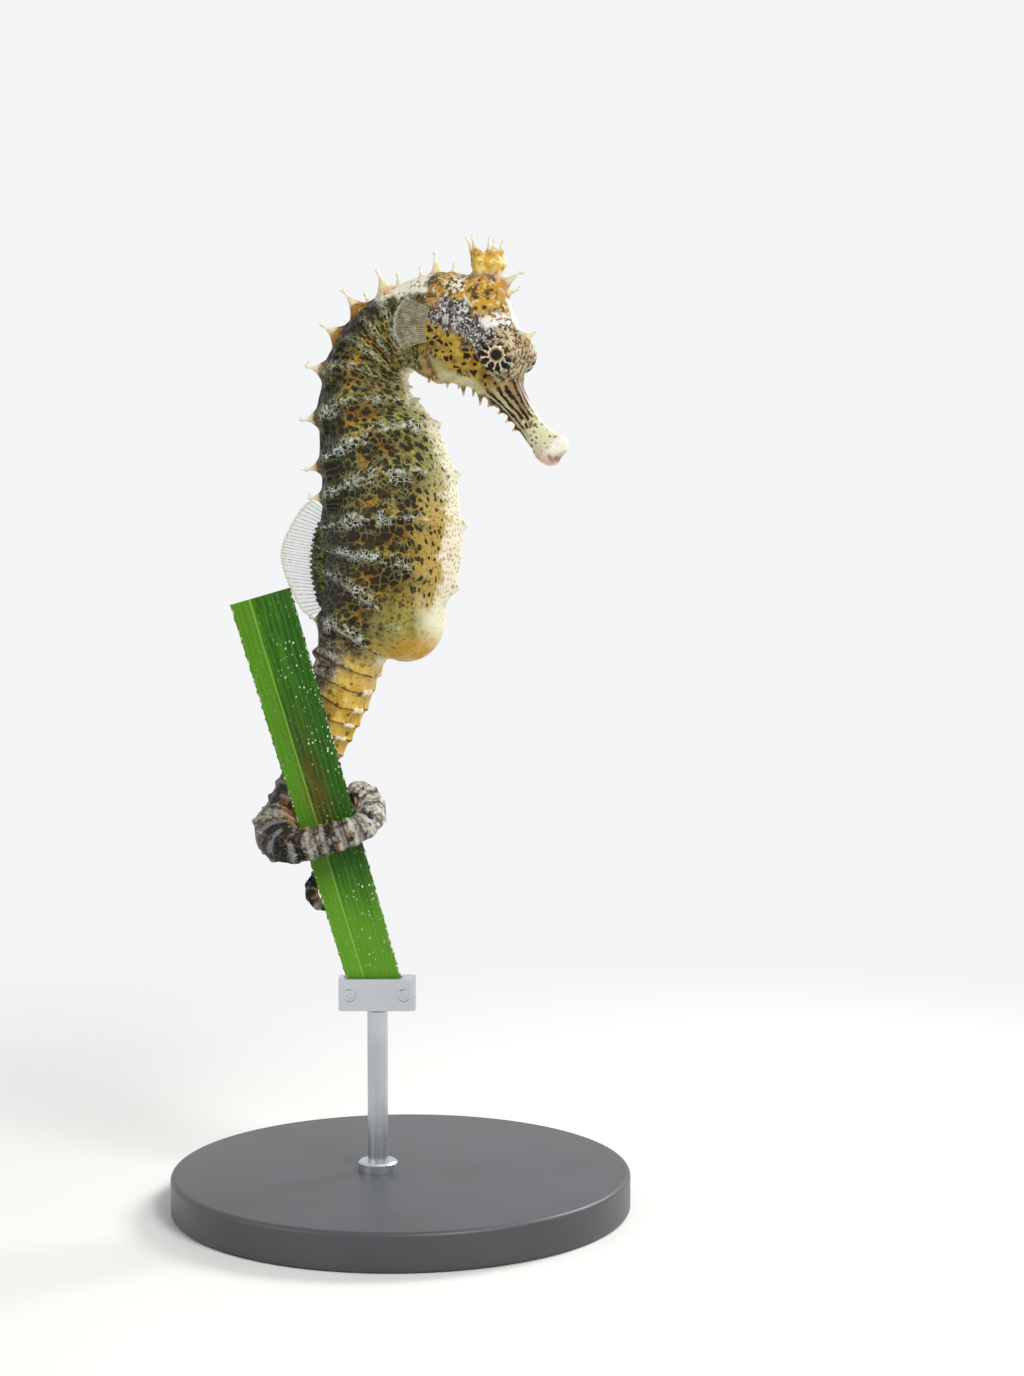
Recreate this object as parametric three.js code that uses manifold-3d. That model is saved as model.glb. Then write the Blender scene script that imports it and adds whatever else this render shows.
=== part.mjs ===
// A male seahorse in life size, gripping a cut blade of seagrass on a plain display stand.
// Millimetres, +Z up. The animal's mirror plane is y = 0, it faces +X, and its right side is -Y.
import * as THREE from 'three';
import { mergeVertices } from 'three/addons/utils/BufferGeometryUtils.js';
import Module from 'manifold-3d';

const wasm = await Module();
wasm.setup();

// ---------------------------------------------------------------- driving dimensions
const GAP = 0.3; // clear space between neighbouring pieces
const PARTING = 0.45; // the same along a curved length, where sections lean together
const SIDES = 16; // points around each body section
const MIN_RADIUS = 0.05; // thinnest end of a spine

// Body axis from mouth to tail root: x, z, then half depth and half width of the section.
const HEAD_STATIONS = [
  [27.1, 117.6, 1.75, 1.5],
  [25.9, 118.2, 2.4, 1.9],
  [24.2, 119.4, 2.2, 1.9],
  [22.3, 121.1, 2.0, 1.8],
  [20.6, 123.2, 2.0, 1.8],
  [19.1, 125.3, 2.3, 2.0],
  [18.0, 127.3, 3.0, 2.6],
  [16.9, 129.5, 4.4, 3.5],
  [15.2, 132.3, 6.5, 4.5],
  [12.5, 135.0, 7.9, 5.3],
  [9.2, 136.6, 8.5, 5.8],
  [5.4, 137.2, 7.9, 5.7],
];
const TRUNK_STATIONS = [
  [1.8, 137.0, 6.8, 5.1],
  [-1.2, 135.7, 6.4, 4.8],
  [-3.5, 133.5, 6.4, 4.8],
  [-4.9, 130.8, 6.7, 4.9],
  [-5.4, 127.5, 7.3, 5.2],
  [-4.9, 123.6, 8.4, 5.6],
  [-3.1, 118.7, 10.0, 6.2],
  [-1.5, 113.5, 10.9, 6.6],
  [-0.9, 108.2, 11.3, 6.9],
  [-0.9, 103.3, 11.5, 6.9],
  [-2.0, 98.6, 10.6, 6.5],
  [-4.6, 94.2, 8.4, 5.9],
  [-7.0, 89.9, 6.5, 5.3],
];

// The camera side of the grass blade looks along OUTWARD, and ACROSS runs to its right.
const BLADE_YAW = THREE.MathUtils.degToRad(25);
const BLADE_LEAN = THREE.MathUtils.degToRad(16.2);
const BLADE_CENTRE = { right: -14.2, out: 1.0, z: 71.0 };
const BLADE = { up: 26, down: 40, half: 4.5, taper: 0.012, thick: 0.8, edge: 0.55 };

const TAIL = { root: 5.3, tip: 0.7, flatness: 0.93 };
const COIL = { centre: 10.0, tilt: 2.7, straight: 4.25, start: -50, end: 235, step: 19 };
const CURL = { across: -3.4, down: 21.4, start: -130, end: -385, step: 17, from: 2.6, to: 1.35 };

// How far the thorn of each trunk ring stands off the back ridge.
const THORNS = [2.7, 3.1, 2.6, 2.4, 2.3, 2.1, 1.8, 0, 0, 0, 1.4];

const RIDGES = { keel: 0, inferior: 2, lateral: 5, superior: 7, back: 8 };
const TRUNK_RINGS = { count: 11, first: 0.9, neckPitch: 3.3, chestPitch: 6.3 };
const TAIL_RINGS = { first: 2.9, last: 1.55 };

const EYE = { x: 18.2, y: 3.35, z: 132.7, radius: 2.65 };
const CORONET = {
  x: 15.0, base: 143.4, waist: 146.4, rim: 148.2, tips: 5,
  footRadius: 3.0, stemRadius: 2.7, waistRadius: 2.0, rimRadius: 2.5, cupRadius: 1.5,
  tipHeight: 2.1, tipReach: 3.3, tipThick: 0.85,
};
// Rounded forms as [x, y, z], [half x, half y, half z] and a tilt; those off the middle are paired.
const ORBIT = { at: [18.2, 2.3, 132.7], half: [3.2, 3.35, 3.2], tilt: 0 };
const GILL_COVER = { at: [11.4, 1.6, 133.9], half: [4.6, 4.7, 5.6], tilt: 0.35 };
const CREST = { at: [14.7, 0, 139.6], half: [4.0, 3.2, 3.8], tilt: 0 };
const NOSE_KNOB = { at: [20.2, 0, 134.4], half: [1.9, 1.7, 1.9], tilt: 0 };
const POUCH = { at: [0.9, 0, 92.9], half: [6.5, 5.6, 7.1], tilt: -0.2 };
const FIN_BASE = { at: [-11.9, 0, 101.0], half: [3.3, 1.5, 7.4], tilt: 0 };
// Spines of the head, from root to tip, with the radius of the root.
const PAIRED_SPINES = {
  brow: [[16.6, 3.0, 135.2], [16.9, 4.9, 137.4], 0.9],
  rearJaw: [[12.0, 2.0, 128.6], [11.9, 1.7, 126.3], 0.6],
  frontJaw: [[14.8, 1.7, 127.3], [14.6, 1.5, 124.9], 0.6],
  throat: [[6.8, 2.4, 130.6], [6.4, 2.4, 128.5], 1.0],
};
const MIDDLE_SPINES = {
  nose: [[20.4, 0, 134.2], [23.2, 0, 136.0], 0.8],
  upperFront: [[16.8, 0, 142.4], [20.7, 0, 145.0], 1.0],
  lowerFront: [[17.2, 0, 141.3], [20.4, 0, 142.4], 0.8],
  nape: [[7.0, 0, 141.8], [6.2, 0, 148.3], 2.6],
  beforeNape: [[9.0, 0, 143.8], [9.5, 0, 146.4], 0.7],
  behindNape: [[4.4, 0, 142.8], [3.7, 0, 146.3], 0.7],
};
const THORN = { root: 1.4, settle: 0.8, thick: 0.95 };
const BACK_FIN = {
  top: [-12.2, 108.4], bottom: [-12.6, 93.8], rays: 20, thick: 0.6,
  level: 8, splay: 26, shortest: 4.0, swell: 4.6,
};
const SIDE_FIN = {
  at: [2.9, 6.3, 137.3], rays: 12, thick: 0.6, spread: 62, radius: 5.0, swell: 0.4,
  hinge: 4.2, rootHalf: 2.6, splay: 0.12, lean: 0.1,
};
const BASE = { radius: 36, height: 6, bevel: 0.8 };
const ROD = { radius: 1.6 };
const CLAMP = { long: 12, deep: 4.2, high: 5, grip: 4, corner: 1 };

const COLOURS = {
  head: 0xb59a5e, snout: 0xcfc08f, coronet: 0xd99a2b, eye: 0x17120f, neck: 0x9b8452,
  trunk: 0xa28a55, belly: 0xd8cfa9, tail: 0xc79a3c, coil: 0x5f564a, fin: 0xbfc4b4,
  blade: 0x3f7a1c, stand: 0x3b3d40, steel: 0xb9bcc0,
};

// ---------------------------------------------------------------- small helpers
const Y_AXIS = new THREE.Vector3(0, 1, 0);
const DEG = Math.PI / 180;

const lerp = THREE.MathUtils.lerp;

function smooth(from, to, value) {
  return THREE.MathUtils.smoothstep(value, from, to);
}

/** A closed geometry as a manifold solid. */
function solid(geometry) {
  const bare = geometry.index ? geometry.clone() : geometry;
  bare.deleteAttribute('normal');
  bare.deleteAttribute('uv');
  const merged = mergeVertices(bare, 1e-4);
  return new wasm.Manifold(new wasm.Mesh({
    numProp: 3,
    vertProperties: new Float32Array(merged.attributes.position.array),
    triVerts: new Uint32Array(merged.index.array),
  }));
}

/** A manifold solid as a named mesh in its own colour. */
function piece(name, body, color, roughness = 0.6, metalness = 0) {
  const data = body.getMesh();
  const geometry = new THREE.BufferGeometry();
  geometry.setAttribute('position', new THREE.BufferAttribute(data.vertProperties, 3));
  geometry.setIndex(new THREE.BufferAttribute(data.triVerts, 1));
  geometry.computeVertexNormals();
  const material = new THREE.MeshStandardMaterial({ color, roughness, metalness });
  const mesh = new THREE.Mesh(geometry, material);
  mesh.name = name;
  return mesh;
}

/** A loft through rings of points, each ring a list of Vector3, with flat ends. */
function loft(rings) {
  const around = rings[0].length;
  const positions = rings.flat().flatMap((p) => [p.x, p.y, p.z]);
  const index = [];
  for (let row = 0; row + 1 < rings.length; row += 1) {
    for (let side = 0; side < around; side += 1) {
      const a = row * around + side;
      const b = row * around + ((side + 1) % around);
      index.push(a, a + around, b, b, a + around, b + around);
    }
  }
  for (const [row, flip] of [[0, false], [rings.length - 1, true]]) {
    const centre = rings[row].reduce((sum, p) => sum.add(p), new THREE.Vector3());
    centre.divideScalar(around);
    positions.push(centre.x, centre.y, centre.z);
    const middle = positions.length / 3 - 1;
    for (let side = 0; side < around; side += 1) {
      const a = row * around + side;
      const b = row * around + ((side + 1) % around);
      index.push(...(flip ? [b, a, middle] : [a, b, middle]));
    }
  }
  const geometry = new THREE.BufferGeometry();
  geometry.setAttribute('position', new THREE.Float32BufferAttribute(positions, 3));
  geometry.setIndex(index);
  return geometry;
}

/** An ellipsoid with its half sizes along x, y and z. */
function ellipsoid(x, y, z, halfX, halfY, halfZ, tilt = 0, detail = 10) {
  const geometry = new THREE.SphereGeometry(1, detail, Math.round(detail * 0.7));
  geometry.scale(halfX, halfY, halfZ);
  geometry.rotateY(tilt);
  geometry.translate(x, y, z);
  return solid(geometry);
}

/** A spine: a cone from a point inside the body out to its tip. */
function spine(from, to, radius, sides = 5) {
  const start = new THREE.Vector3(...from);
  const way = new THREE.Vector3(...to).sub(start);
  const geometry = new THREE.CylinderGeometry(MIN_RADIUS, radius, way.length(), sides);
  geometry.translate(0, way.length() / 2, 0);
  geometry.applyQuaternion(new THREE.Quaternion().setFromUnitVectors(Y_AXIS, way.normalize()));
  geometry.translate(start.x, start.y, start.z);
  return solid(geometry);
}

// ---------------------------------------------------------------- the blade's own frame
const rightward = new THREE.Vector3(Math.cos(BLADE_YAW), Math.sin(BLADE_YAW), 0);
const outward = new THREE.Vector3(Math.sin(BLADE_YAW), -Math.cos(BLADE_YAW), 0);
const across = rightward.clone().multiplyScalar(Math.cos(BLADE_LEAN));
across.z = Math.sin(BLADE_LEAN);
const downward = rightward.clone().multiplyScalar(Math.sin(BLADE_LEAN));
downward.z = -Math.cos(BLADE_LEAN);
const bladeOrigin = rightward.clone().multiplyScalar(BLADE_CENTRE.right)
  .addScaledVector(outward, BLADE_CENTRE.out);
bladeOrigin.z = BLADE_CENTRE.z;

/** A direction given as parts across, down and out of the blade. */
function bladeVector(acrossPart, downPart, outPart) {
  return new THREE.Vector3()
    .addScaledVector(across, acrossPart)
    .addScaledVector(downward, downPart)
    .addScaledVector(outward, outPart);
}

function bladePoint(acrossPart, downPart, outPart) {
  return bladeVector(acrossPart, downPart, outPart).add(bladeOrigin);
}

// ---------------------------------------------------------------- the body's axis
/** Stations of head and trunk: all in the mirror plane, belly side square to the axis. */
function trunkStations() {
  const rows = [...HEAD_STATIONS, ...TRUNK_STATIONS];
  return rows.map(([x, z, deep, wide], i) => {
    const [backX, backZ] = rows[Math.max(i - 1, 0)];
    const [nextX, nextZ] = rows[Math.min(i + 1, rows.length - 1)];
    const belly = new THREE.Vector3(backZ - nextZ, 0, nextX - backX).normalize();
    return { at: new THREE.Vector3(x, 0, z), belly, deep, wide };
  });
}

/** The tail comes down behind the blade, goes once round it, and ends in a curl behind. */
function tailStations() {
  const stations = [];
  const add = (at, belly) => stations.push({ at, belly });
  add(new THREE.Vector3(-8.8, 0, 85.7), new THREE.Vector3(0.93, 0, 0.36));
  add(new THREE.Vector3(-10.5, 0, 81.2), new THREE.Vector3(0.93, -0.1, 0.36));
  add(bladePoint(4.0, -4.4, -6.1), bladeVector(0.8, 0, 0.6));
  add(bladePoint(0.6, -0.1, -6.0), bladeVector(0.65, 0, 0.76));
  add(bladePoint(-2.9, 4.1, -5.4), bladeVector(0.55, 0, 0.83));
  for (let turn = COIL.start; turn <= COIL.end; turn += COIL.step) {
    add(coilPoint(turn), bladeVector(Math.cos(turn * DEG), 0, -Math.sin(turn * DEG)));
  }
  add(bladePoint(3.6, 10.6, -2.9), bladeVector(-0.5, 0, 0.87));
  add(bladePoint(1.0, 14.2, -2.7), bladeVector(-0.2, 0.4, 0.9));
  add(bladePoint(-2.3, 17.2, -2.4), bladeVector(0.1, 0.7, 0.7));
  for (let turn = CURL.start; turn >= CURL.end; turn -= CURL.step) {
    const radius = lerp(CURL.from, CURL.to, (CURL.start - turn) / (CURL.start - CURL.end));
    const aside = Math.cos(turn * DEG);
    const below = Math.sin(turn * DEG);
    const at = bladePoint(CURL.across + radius * aside, CURL.down + radius * below, -1.9);
    add(at, bladeVector(-aside, -below, 0.2));
  }
  return stations;
}

/** One loop round the flat blade: straight behind and in front, round past its edges. */
function coilPoint(turn) {
  const aside = Math.cos(turn * DEG);
  const forth = Math.sin(turn * DEG);
  const progress = (turn - COIL.start) / (COIL.end - COIL.start);
  const reach = BLADE.thick / 2 + GAP + lerp(3.8, 2.3, progress);
  const flat = aside / Math.hypot(aside, 0.35);
  return bladePoint(-(COIL.straight * flat + reach * aside),
    COIL.centre + COIL.tilt * forth, reach * forth);
}

/** Samples of the axis with a running length, to be read at any length. */
class Axis {
  constructor(stations, perStation = 24) {
    const curve = (pick) => new THREE.CatmullRomCurve3(stations.map(pick), false, 'catmullrom', 0.5);
    const places = curve((s) => s.at);
    const bellies = curve((s) => s.belly);
    const halves = curve((s) => new THREE.Vector3(s.deep, s.wide, 0));
    const count = (stations.length - 1) * perStation;
    this.samples = [];
    let length = 0;
    for (let i = 0; i <= count; i += 1) {
      const t = i / count;
      const at = places.getPoint(t);
      if (i > 0) length += at.distanceTo(this.samples[i - 1].at);
      const half = halves.getPoint(t);
      this.samples.push({ length, at, belly: bellies.getPoint(t), deep: half.x, wide: half.y });
    }
    this.length = length;
    this.stationLength = (i) => this.samples[i * perStation].length;
  }

  /** Place, size and the three directions of the section at a length along the axis. */
  read(length) {
    const samples = this.samples;
    let low = 0;
    let high = samples.length - 1;
    while (high - low > 1) {
      const middle = (low + high) >> 1;
      if (samples[middle].length > length) high = middle;
      else low = middle;
    }
    const a = samples[low];
    const b = samples[high];
    const part = THREE.MathUtils.clamp((length - a.length) / (b.length - a.length), 0, 1);
    const along = b.at.clone().sub(a.at).normalize();
    const belly = a.belly.clone().lerp(b.belly, part);
    belly.addScaledVector(along, -belly.dot(along)).normalize();
    const right = new THREE.Vector3().crossVectors(along, belly).negate();
    return {
      at: a.at.clone().lerp(b.at, part), along, belly, right,
      deep: lerp(a.deep, b.deep, part), wide: lerp(a.wide, b.wide, part),
    };
  }
}

function bodyAxis() {
  const trunk = trunkStations();
  const tail = tailStations();
  const steps = tail.map((s, i) => (i ? s.at.distanceTo(tail[i - 1].at) : 0));
  const whole = steps.reduce((sum, step) => sum + step, 0);
  let run = 0;
  tail.forEach((station, i) => {
    run += steps[i];
    const left = 1 - run / whole;
    station.deep = TAIL.tip + (TAIL.root - TAIL.tip) * left;
    station.wide = station.deep * TAIL.flatness;
  });
  return new Axis([...trunk, ...tail]);
}

const axis = bodyAxis();
const neckLength = axis.stationLength(HEAD_STATIONS.length);
const tailLength = axis.stationLength(HEAD_STATIONS.length + TRUNK_STATIONS.length);

// ---------------------------------------------------------------- rings and ridges
/** Lengths along the axis of every bony ring: wide ones on the trunk, then closer ones. */
function ringLengths() {
  const rings = [];
  let length = neckLength + TRUNK_RINGS.first;
  for (let ring = 0; ring < TRUNK_RINGS.count; ring += 1) {
    rings.push(length);
    length += lerp(TRUNK_RINGS.neckPitch, TRUNK_RINGS.chestPitch, smooth(1.5, 4.5, ring));
  }
  length = rings.at(-1) + TAIL_RINGS.first * 1.5;
  while (length < axis.length - TAIL_RINGS.last) {
    rings.push(length);
    const progress = (length - tailLength) / (axis.length - tailLength);
    length += lerp(TAIL_RINGS.first, TAIL_RINGS.last, progress);
  }
  return rings;
}

const rings = ringLengths();

/** The section's outline as parts of half depth and half width, ridge to ridge. */
function outlineThrough(corners, hollow) {
  const outline = [];
  for (let i = 0; i + 1 < corners.length; i += 1) {
    const [from, u0, v0] = corners[i];
    const [to, u1, v1] = corners[i + 1];
    for (let side = from; side < to; side += 1) {
      const part = (side - from) / (to - from);
      const swell = 1 - hollow * 4 * part * (1 - part);
      outline.push([lerp(u0, u1, part) * swell, lerp(v0, v1, part) * swell]);
    }
  }
  outline.push([corners.at(-1)[1], corners.at(-1)[2]]);
  const mirrored = outline.slice(1, -1).reverse().map(([u, v]) => [u, -v]);
  return [...outline, ...mirrored];
}

const TRUNK_OUTLINE = outlineThrough([
  [RIDGES.keel, 1.0, 0],
  [RIDGES.inferior, 0.66, 0.66],
  [RIDGES.lateral, -0.12, 1.0],
  [RIDGES.superior, -0.96, 0.5],
  [RIDGES.back, -0.97, 0],
], -0.06);
const TAIL_OUTLINE = outlineThrough([
  [RIDGES.keel, 0.86, 0],
  [RIDGES.inferior, 0.8, 0.72],
  [RIDGES.superior, -0.8, 0.72],
  [RIDGES.back, -0.86, 0],
], -0.05);
const HEAD_OUTLINE = TRUNK_OUTLINE.map((_, side) => {
  const angle = (side / SIDES) * 2 * Math.PI;
  return [Math.cos(angle), Math.sin(angle)];
});

/** How far a spine stands out of a ridge at a ring, in mm. */
function spineHeight(ring, side) {
  const ridge = side > RIDGES.back ? SIDES - side : side;
  const onTrunk = ring < TRUNK_RINGS.count;
  if (onTrunk) {
    const underFin = ring >= 7 && ring <= 9;
    if (ridge === RIDGES.superior) return underFin ? 0.3 : 0.8;
    if (ridge === RIDGES.lateral) return 0.6;
    if (ridge === RIDGES.inferior) return ring > 2 ? 0.6 : 0.2;
    if (ridge === RIDGES.keel) return ring > 2 && ring < 9 ? 0.7 : 0.1;
    return 0;
  }
  const fade = 1 - (ring - TRUNK_RINGS.count) / (rings.length - TRUNK_RINGS.count);
  if (ridge === RIDGES.superior) return 0.05 + 0.45 * fade ** 2;
  if (ridge === RIDGES.inferior) return 0.05 + 0.75 * fade ** 2;
  return 0;
}

/** The outline at one length; ring is its number at a ring's crest and null elsewhere. */
function section(length, ring, grow) {
  const frame = axis.read(length);
  const onTrunk = smooth(neckLength - 1, neckLength + 9, length);
  const onTail = smooth(tailLength - 9, tailLength + 4, length);
  const crest = ring === null ? -0.02 : 0.02;
  const swell = 1 + crest * onTrunk;
  return HEAD_OUTLINE.map((head, side) => {
    const trunk = TRUNK_OUTLINE[side];
    const tail = TAIL_OUTLINE[side];
    const u = lerp(lerp(head[0], trunk[0], onTrunk), tail[0], onTail);
    const v = lerp(lerp(head[1], trunk[1], onTrunk), tail[1], onTail);
    const out = frame.belly.clone().multiplyScalar(u * frame.deep)
      .addScaledVector(frame.right, v * frame.wide);
    const height = ring === null ? 0 : spineHeight(ring, side);
    out.setLength(out.length() * swell + grow + height);
    return frame.at.clone().add(out);
  });
}

/** Every length where a section is drawn between two lengths, with its ring or null. */
function cuts(from, to) {
  const list = [{ length: from, ring: null }];
  rings.forEach((length, ring) => {
    const next = rings[ring + 1] ?? axis.length;
    const pitch = next - length;
    const fine = ring < TRUNK_RINGS.count;
    if (fine) list.push({ length: length - 0.24 * pitch, ring: null });
    list.push({ length, ring });
    if (fine) list.push({ length: length + 0.24 * pitch, ring: null });
    list.push({ length: length + 0.5 * pitch, ring: null });
  });
  const headStep = 2;
  for (let length = 0; length < neckLength; length += headStep) list.push({ length, ring: null });
  list.push({ length: to, ring: null });
  const margin = 0.25;
  return list
    .filter((cut) => cut.length === from || cut.length === to
      || (cut.length > from + margin && cut.length < to - margin))
    .sort((a, b) => a.length - b.length);
}

// ---------------------------------------------------------------- where the body is parted
const CUTS = {
  snout: axis.stationLength(6),
  head: neckLength - 1.2,
  neck: rings[3] + 0.5 * (rings[4] - rings[3]),
  trunk: rings[7] + 0.5 * (rings[8] - rings[7]),
  tail: tailLength - 2.5,
  tailUpper: axis.stationLength(27),
  tailMiddle: axis.stationLength(29) + 1.2,
  coilLeft: axis.stationLength(36),
  coilFront: axis.stationLength(38),
  coilRight: axis.stationLength(47),
};

/** A length of the body, from one place along the axis to another. */
function bodyLength(from, to, grow = 0) {
  return solid(loft(cuts(from, to).map((cut) => section(cut.length, cut.ring, grow))));
}

/** The same length with a clear gap all round it, to be cut out of what lies against it. */
function clearance(from, to) {
  return bodyLength(from - PARTING, to + PARTING, GAP);
}

/** The thorns of the back ridge between two lengths, one to a ring on each side. */
function backThorns(from, to) {
  const thorns = [];
  rings.slice(0, TRUNK_RINGS.count).forEach((length, ring) => {
    const reach = THORNS[ring];
    if (!reach || length < from || length > to) return;
    const points = section(length, ring, 0);
    const { at } = axis.read(length);
    for (const side of [RIDGES.superior, SIDES - RIDGES.superior]) {
      const out = points[side].clone().sub(at).normalize();
      const foot = points[side].clone().addScaledVector(out, -THORN.root);
      const tip = points[side].clone().addScaledVector(out, reach - THORN.settle);
      thorns.push(spine(foot.toArray(), tip.toArray(), THORN.thick));
    }
  });
  return thorns;
}

function union(bodies) {
  return bodies.reduce((whole, body) => whole.add(body));
}

/** Makes a part of each side, right then left. */
function bothSides(make) {
  return [-1, 1].map(make);
}

// ---------------------------------------------------------------- head
function eyeball(side, grow = 0) {
  const radius = EYE.radius + grow;
  return ellipsoid(EYE.x, side * EYE.y, EYE.z, radius, radius, radius, 0, 14);
}

/** A rounded form, on the middle line or moved to one side. */
function lump({ at, half, tilt }, side = 1, grow = 0) {
  const [x, y, z] = at;
  return ellipsoid(x, side * y, z, half[0] + grow, half[1] + grow, half[2] + grow, tilt);
}

/** A spine on the middle line, or moved to one side. */
function spineOn([root, tip, thick], side = 1) {
  const place = ([x, y, z]) => [x, side * y, z];
  return spine(place(root), place(tip), thick);
}

function head() {
  const parts = [bodyLength(CUTS.snout + GAP, CUTS.head), lump(CREST), lump(NOSE_KNOB)];
  bothSides((side) => {
    parts.push(lump(ORBIT, side), lump(GILL_COVER, side));
    Object.values(PAIRED_SPINES).forEach((one) => parts.push(spineOn(one, side)));
  });
  Object.values(MIDDLE_SPINES).forEach((one) => parts.push(spineOn(one)));
  const cutters = bothSides((side) => eyeball(side, GAP));
  cutters.push(clearance(CUTS.head, CUTS.neck));
  cutters.push(coronetBody(GAP));
  return cutters.reduce((body, cutter) => body.subtract(cutter), union(parts));
}

/** The crown: a short column on the crest, flaring into a rim of pointed tips. */
function coronetBody(grow = 0) {
  const { base, waist, rim, footRadius, stemRadius, waistRadius, rimRadius, cupRadius } = CORONET;
  const profile = [
    [0, -0.4 - grow], [footRadius, -0.4 - grow], [stemRadius, 0.9], [waistRadius, waist - base],
    [rimRadius, rim - base], [cupRadius, rim - base - 0.1], [0, rim - base - 0.8],
  ].map(([radius, z]) => new THREE.Vector2(radius && radius + grow, z));
  const geometry = new THREE.LatheGeometry(profile, 12);
  geometry.rotateX(Math.PI / 2);
  geometry.translate(CORONET.x, 0, base);
  return solid(geometry);
}

/** The tips lean outwards, and the front ones are lower than the back ones. */
function coronet() {
  const { x, rim, tips, tipHeight, tipReach, tipThick } = CORONET;
  const parts = [coronetBody()];
  for (let tip = 0; tip < tips; tip += 1) {
    const turn = Math.PI + (tip * 2 * Math.PI) / tips;
    const out = [Math.cos(turn), Math.sin(turn)];
    const forward = Math.max(out[0], 0);
    const root = CORONET.cupRadius + 0.2;
    const height = tipHeight - 1.2 * forward;
    const reach = tipReach - 0.5 * forward;
    const from = [x + root * out[0], root * out[1], rim - 1.3];
    const to = [x + reach * out[0], reach * out[1], rim + height];
    parts.push(spine(from, to, tipThick));
  }
  return union(parts);
}

// ---------------------------------------------------------------- trunk, pouch and fins
/** The fleshy ridge on the back that carries the dorsal fin. */
function finBase(grow = 0) {
  return lump(FIN_BASE, 1, grow);
}

/** A length of neck or trunk with its thorns. */
function thornedLength(from, to) {
  return union([bodyLength(from, to), ...backThorns(from, to)]);
}

function trunkLower() {
  const upper = clearance(CUTS.neck, CUTS.trunk);
  return thornedLength(CUTS.trunk + PARTING, CUTS.tail).add(finBase().subtract(upper));
}

function broodPouch() {
  return lump(POUCH)
    .subtract(clearance(CUTS.trunk, CUTS.tail))
    .subtract(clearance(CUTS.tail, CUTS.tailUpper));
}

/** A thin plate with an outline in x and z, and its thickness along y. */
function plate(outline, thickness) {
  const shape = new THREE.Shape(outline.map(([x, z]) => new THREE.Vector2(x, z)));
  const geometry = new THREE.ExtrudeGeometry(shape, { depth: thickness, bevelEnabled: false });
  geometry.translate(0, 0, -thickness / 2);
  geometry.rotateX(Math.PI / 2);
  return geometry;
}

/** The fan of the back fin, its rays spreading from the fin base. */
function dorsalFin() {
  const { top, bottom, rays, thick, level, splay, shortest, swell } = BACK_FIN;
  const outer = [];
  for (let ray = 0; ray <= rays; ray += 1) {
    const t = ray / rays;
    const angle = (level + splay * (1 - 2 * t) ** 3) * DEG;
    const length = shortest + swell * Math.sin(Math.PI * t) ** 0.7;
    outer.push([
      lerp(top[0], bottom[0], t) - length * Math.cos(angle),
      lerp(top[1], bottom[1], t) + length * Math.sin(angle),
    ]);
  }
  return solid(plate([top, ...outer, bottom], thick))
    .subtract(clearance(CUTS.neck, CUTS.trunk))
    .subtract(clearance(CUTS.trunk, CUTS.tail))
    .subtract(finBase(GAP));
}

/** The small fan behind the gill cover, standing a little off the neck. */
function pectoralFin(side) {
  const { at, rays, thick, spread, radius, swell, hinge, rootHalf, splay, lean } = SIDE_FIN;
  const outline = [[radius, -rootHalf], [radius, rootHalf]];
  for (let ray = 0; ray <= rays; ray += 1) {
    const angle = lerp(spread, -spread, ray / rays) * DEG;
    const length = radius + swell * Math.cos(angle);
    outline.push([hinge - length * Math.cos(angle), length * Math.sin(angle)]);
  }
  const geometry = plate(outline, thick);
  geometry.rotateZ(side * splay);
  geometry.rotateY(lean);
  geometry.translate(at[0], side * at[1], at[2]);
  return solid(geometry)
    .subtract(clearance(CUTS.head, CUTS.neck))
    .subtract(head());
}

// ---------------------------------------------------------------- perch and stand
/** The cut blade of seagrass: a long strip, thinner at its edges than down its middle. */
function blade(grow = 0) {
  const steps = 12;
  const rows = [];
  for (let step = 0; step <= steps; step += 1) {
    const along = lerp(-BLADE.up - grow, BLADE.down + grow, step / steps);
    const half = BLADE.half - BLADE.taper * along + grow;
    const thick = BLADE.thick / 2 + grow;
    const edge = BLADE.edge / 2 + grow;
    rows.push([
      [half, -edge], [0.3 * half, -thick], [-0.3 * half, -thick], [-half, -edge],
      [-half, edge], [-0.3 * half, thick], [0.3 * half, thick], [half, edge],
    ].map(([side, out]) => bladePoint(side, along, out)));
  }
  return solid(loft(rows));
}

function standBase() {
  const { radius, height, bevel } = BASE;
  const profile = [[0, 0], [radius, 0], [radius, height - bevel], [radius - bevel, height],
    [0, height]].map(([r, z]) => new THREE.Vector2(r, z));
  const geometry = new THREE.LatheGeometry(profile, 48);
  geometry.rotateX(Math.PI / 2);
  return solid(geometry);
}

const bladeFoot = bladePoint(0, BLADE.down, 0);
const clampTop = bladeFoot.z + CLAMP.grip;
const clampMiddle = bladePoint(0, BLADE.down - CLAMP.grip / 2, 0);

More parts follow.
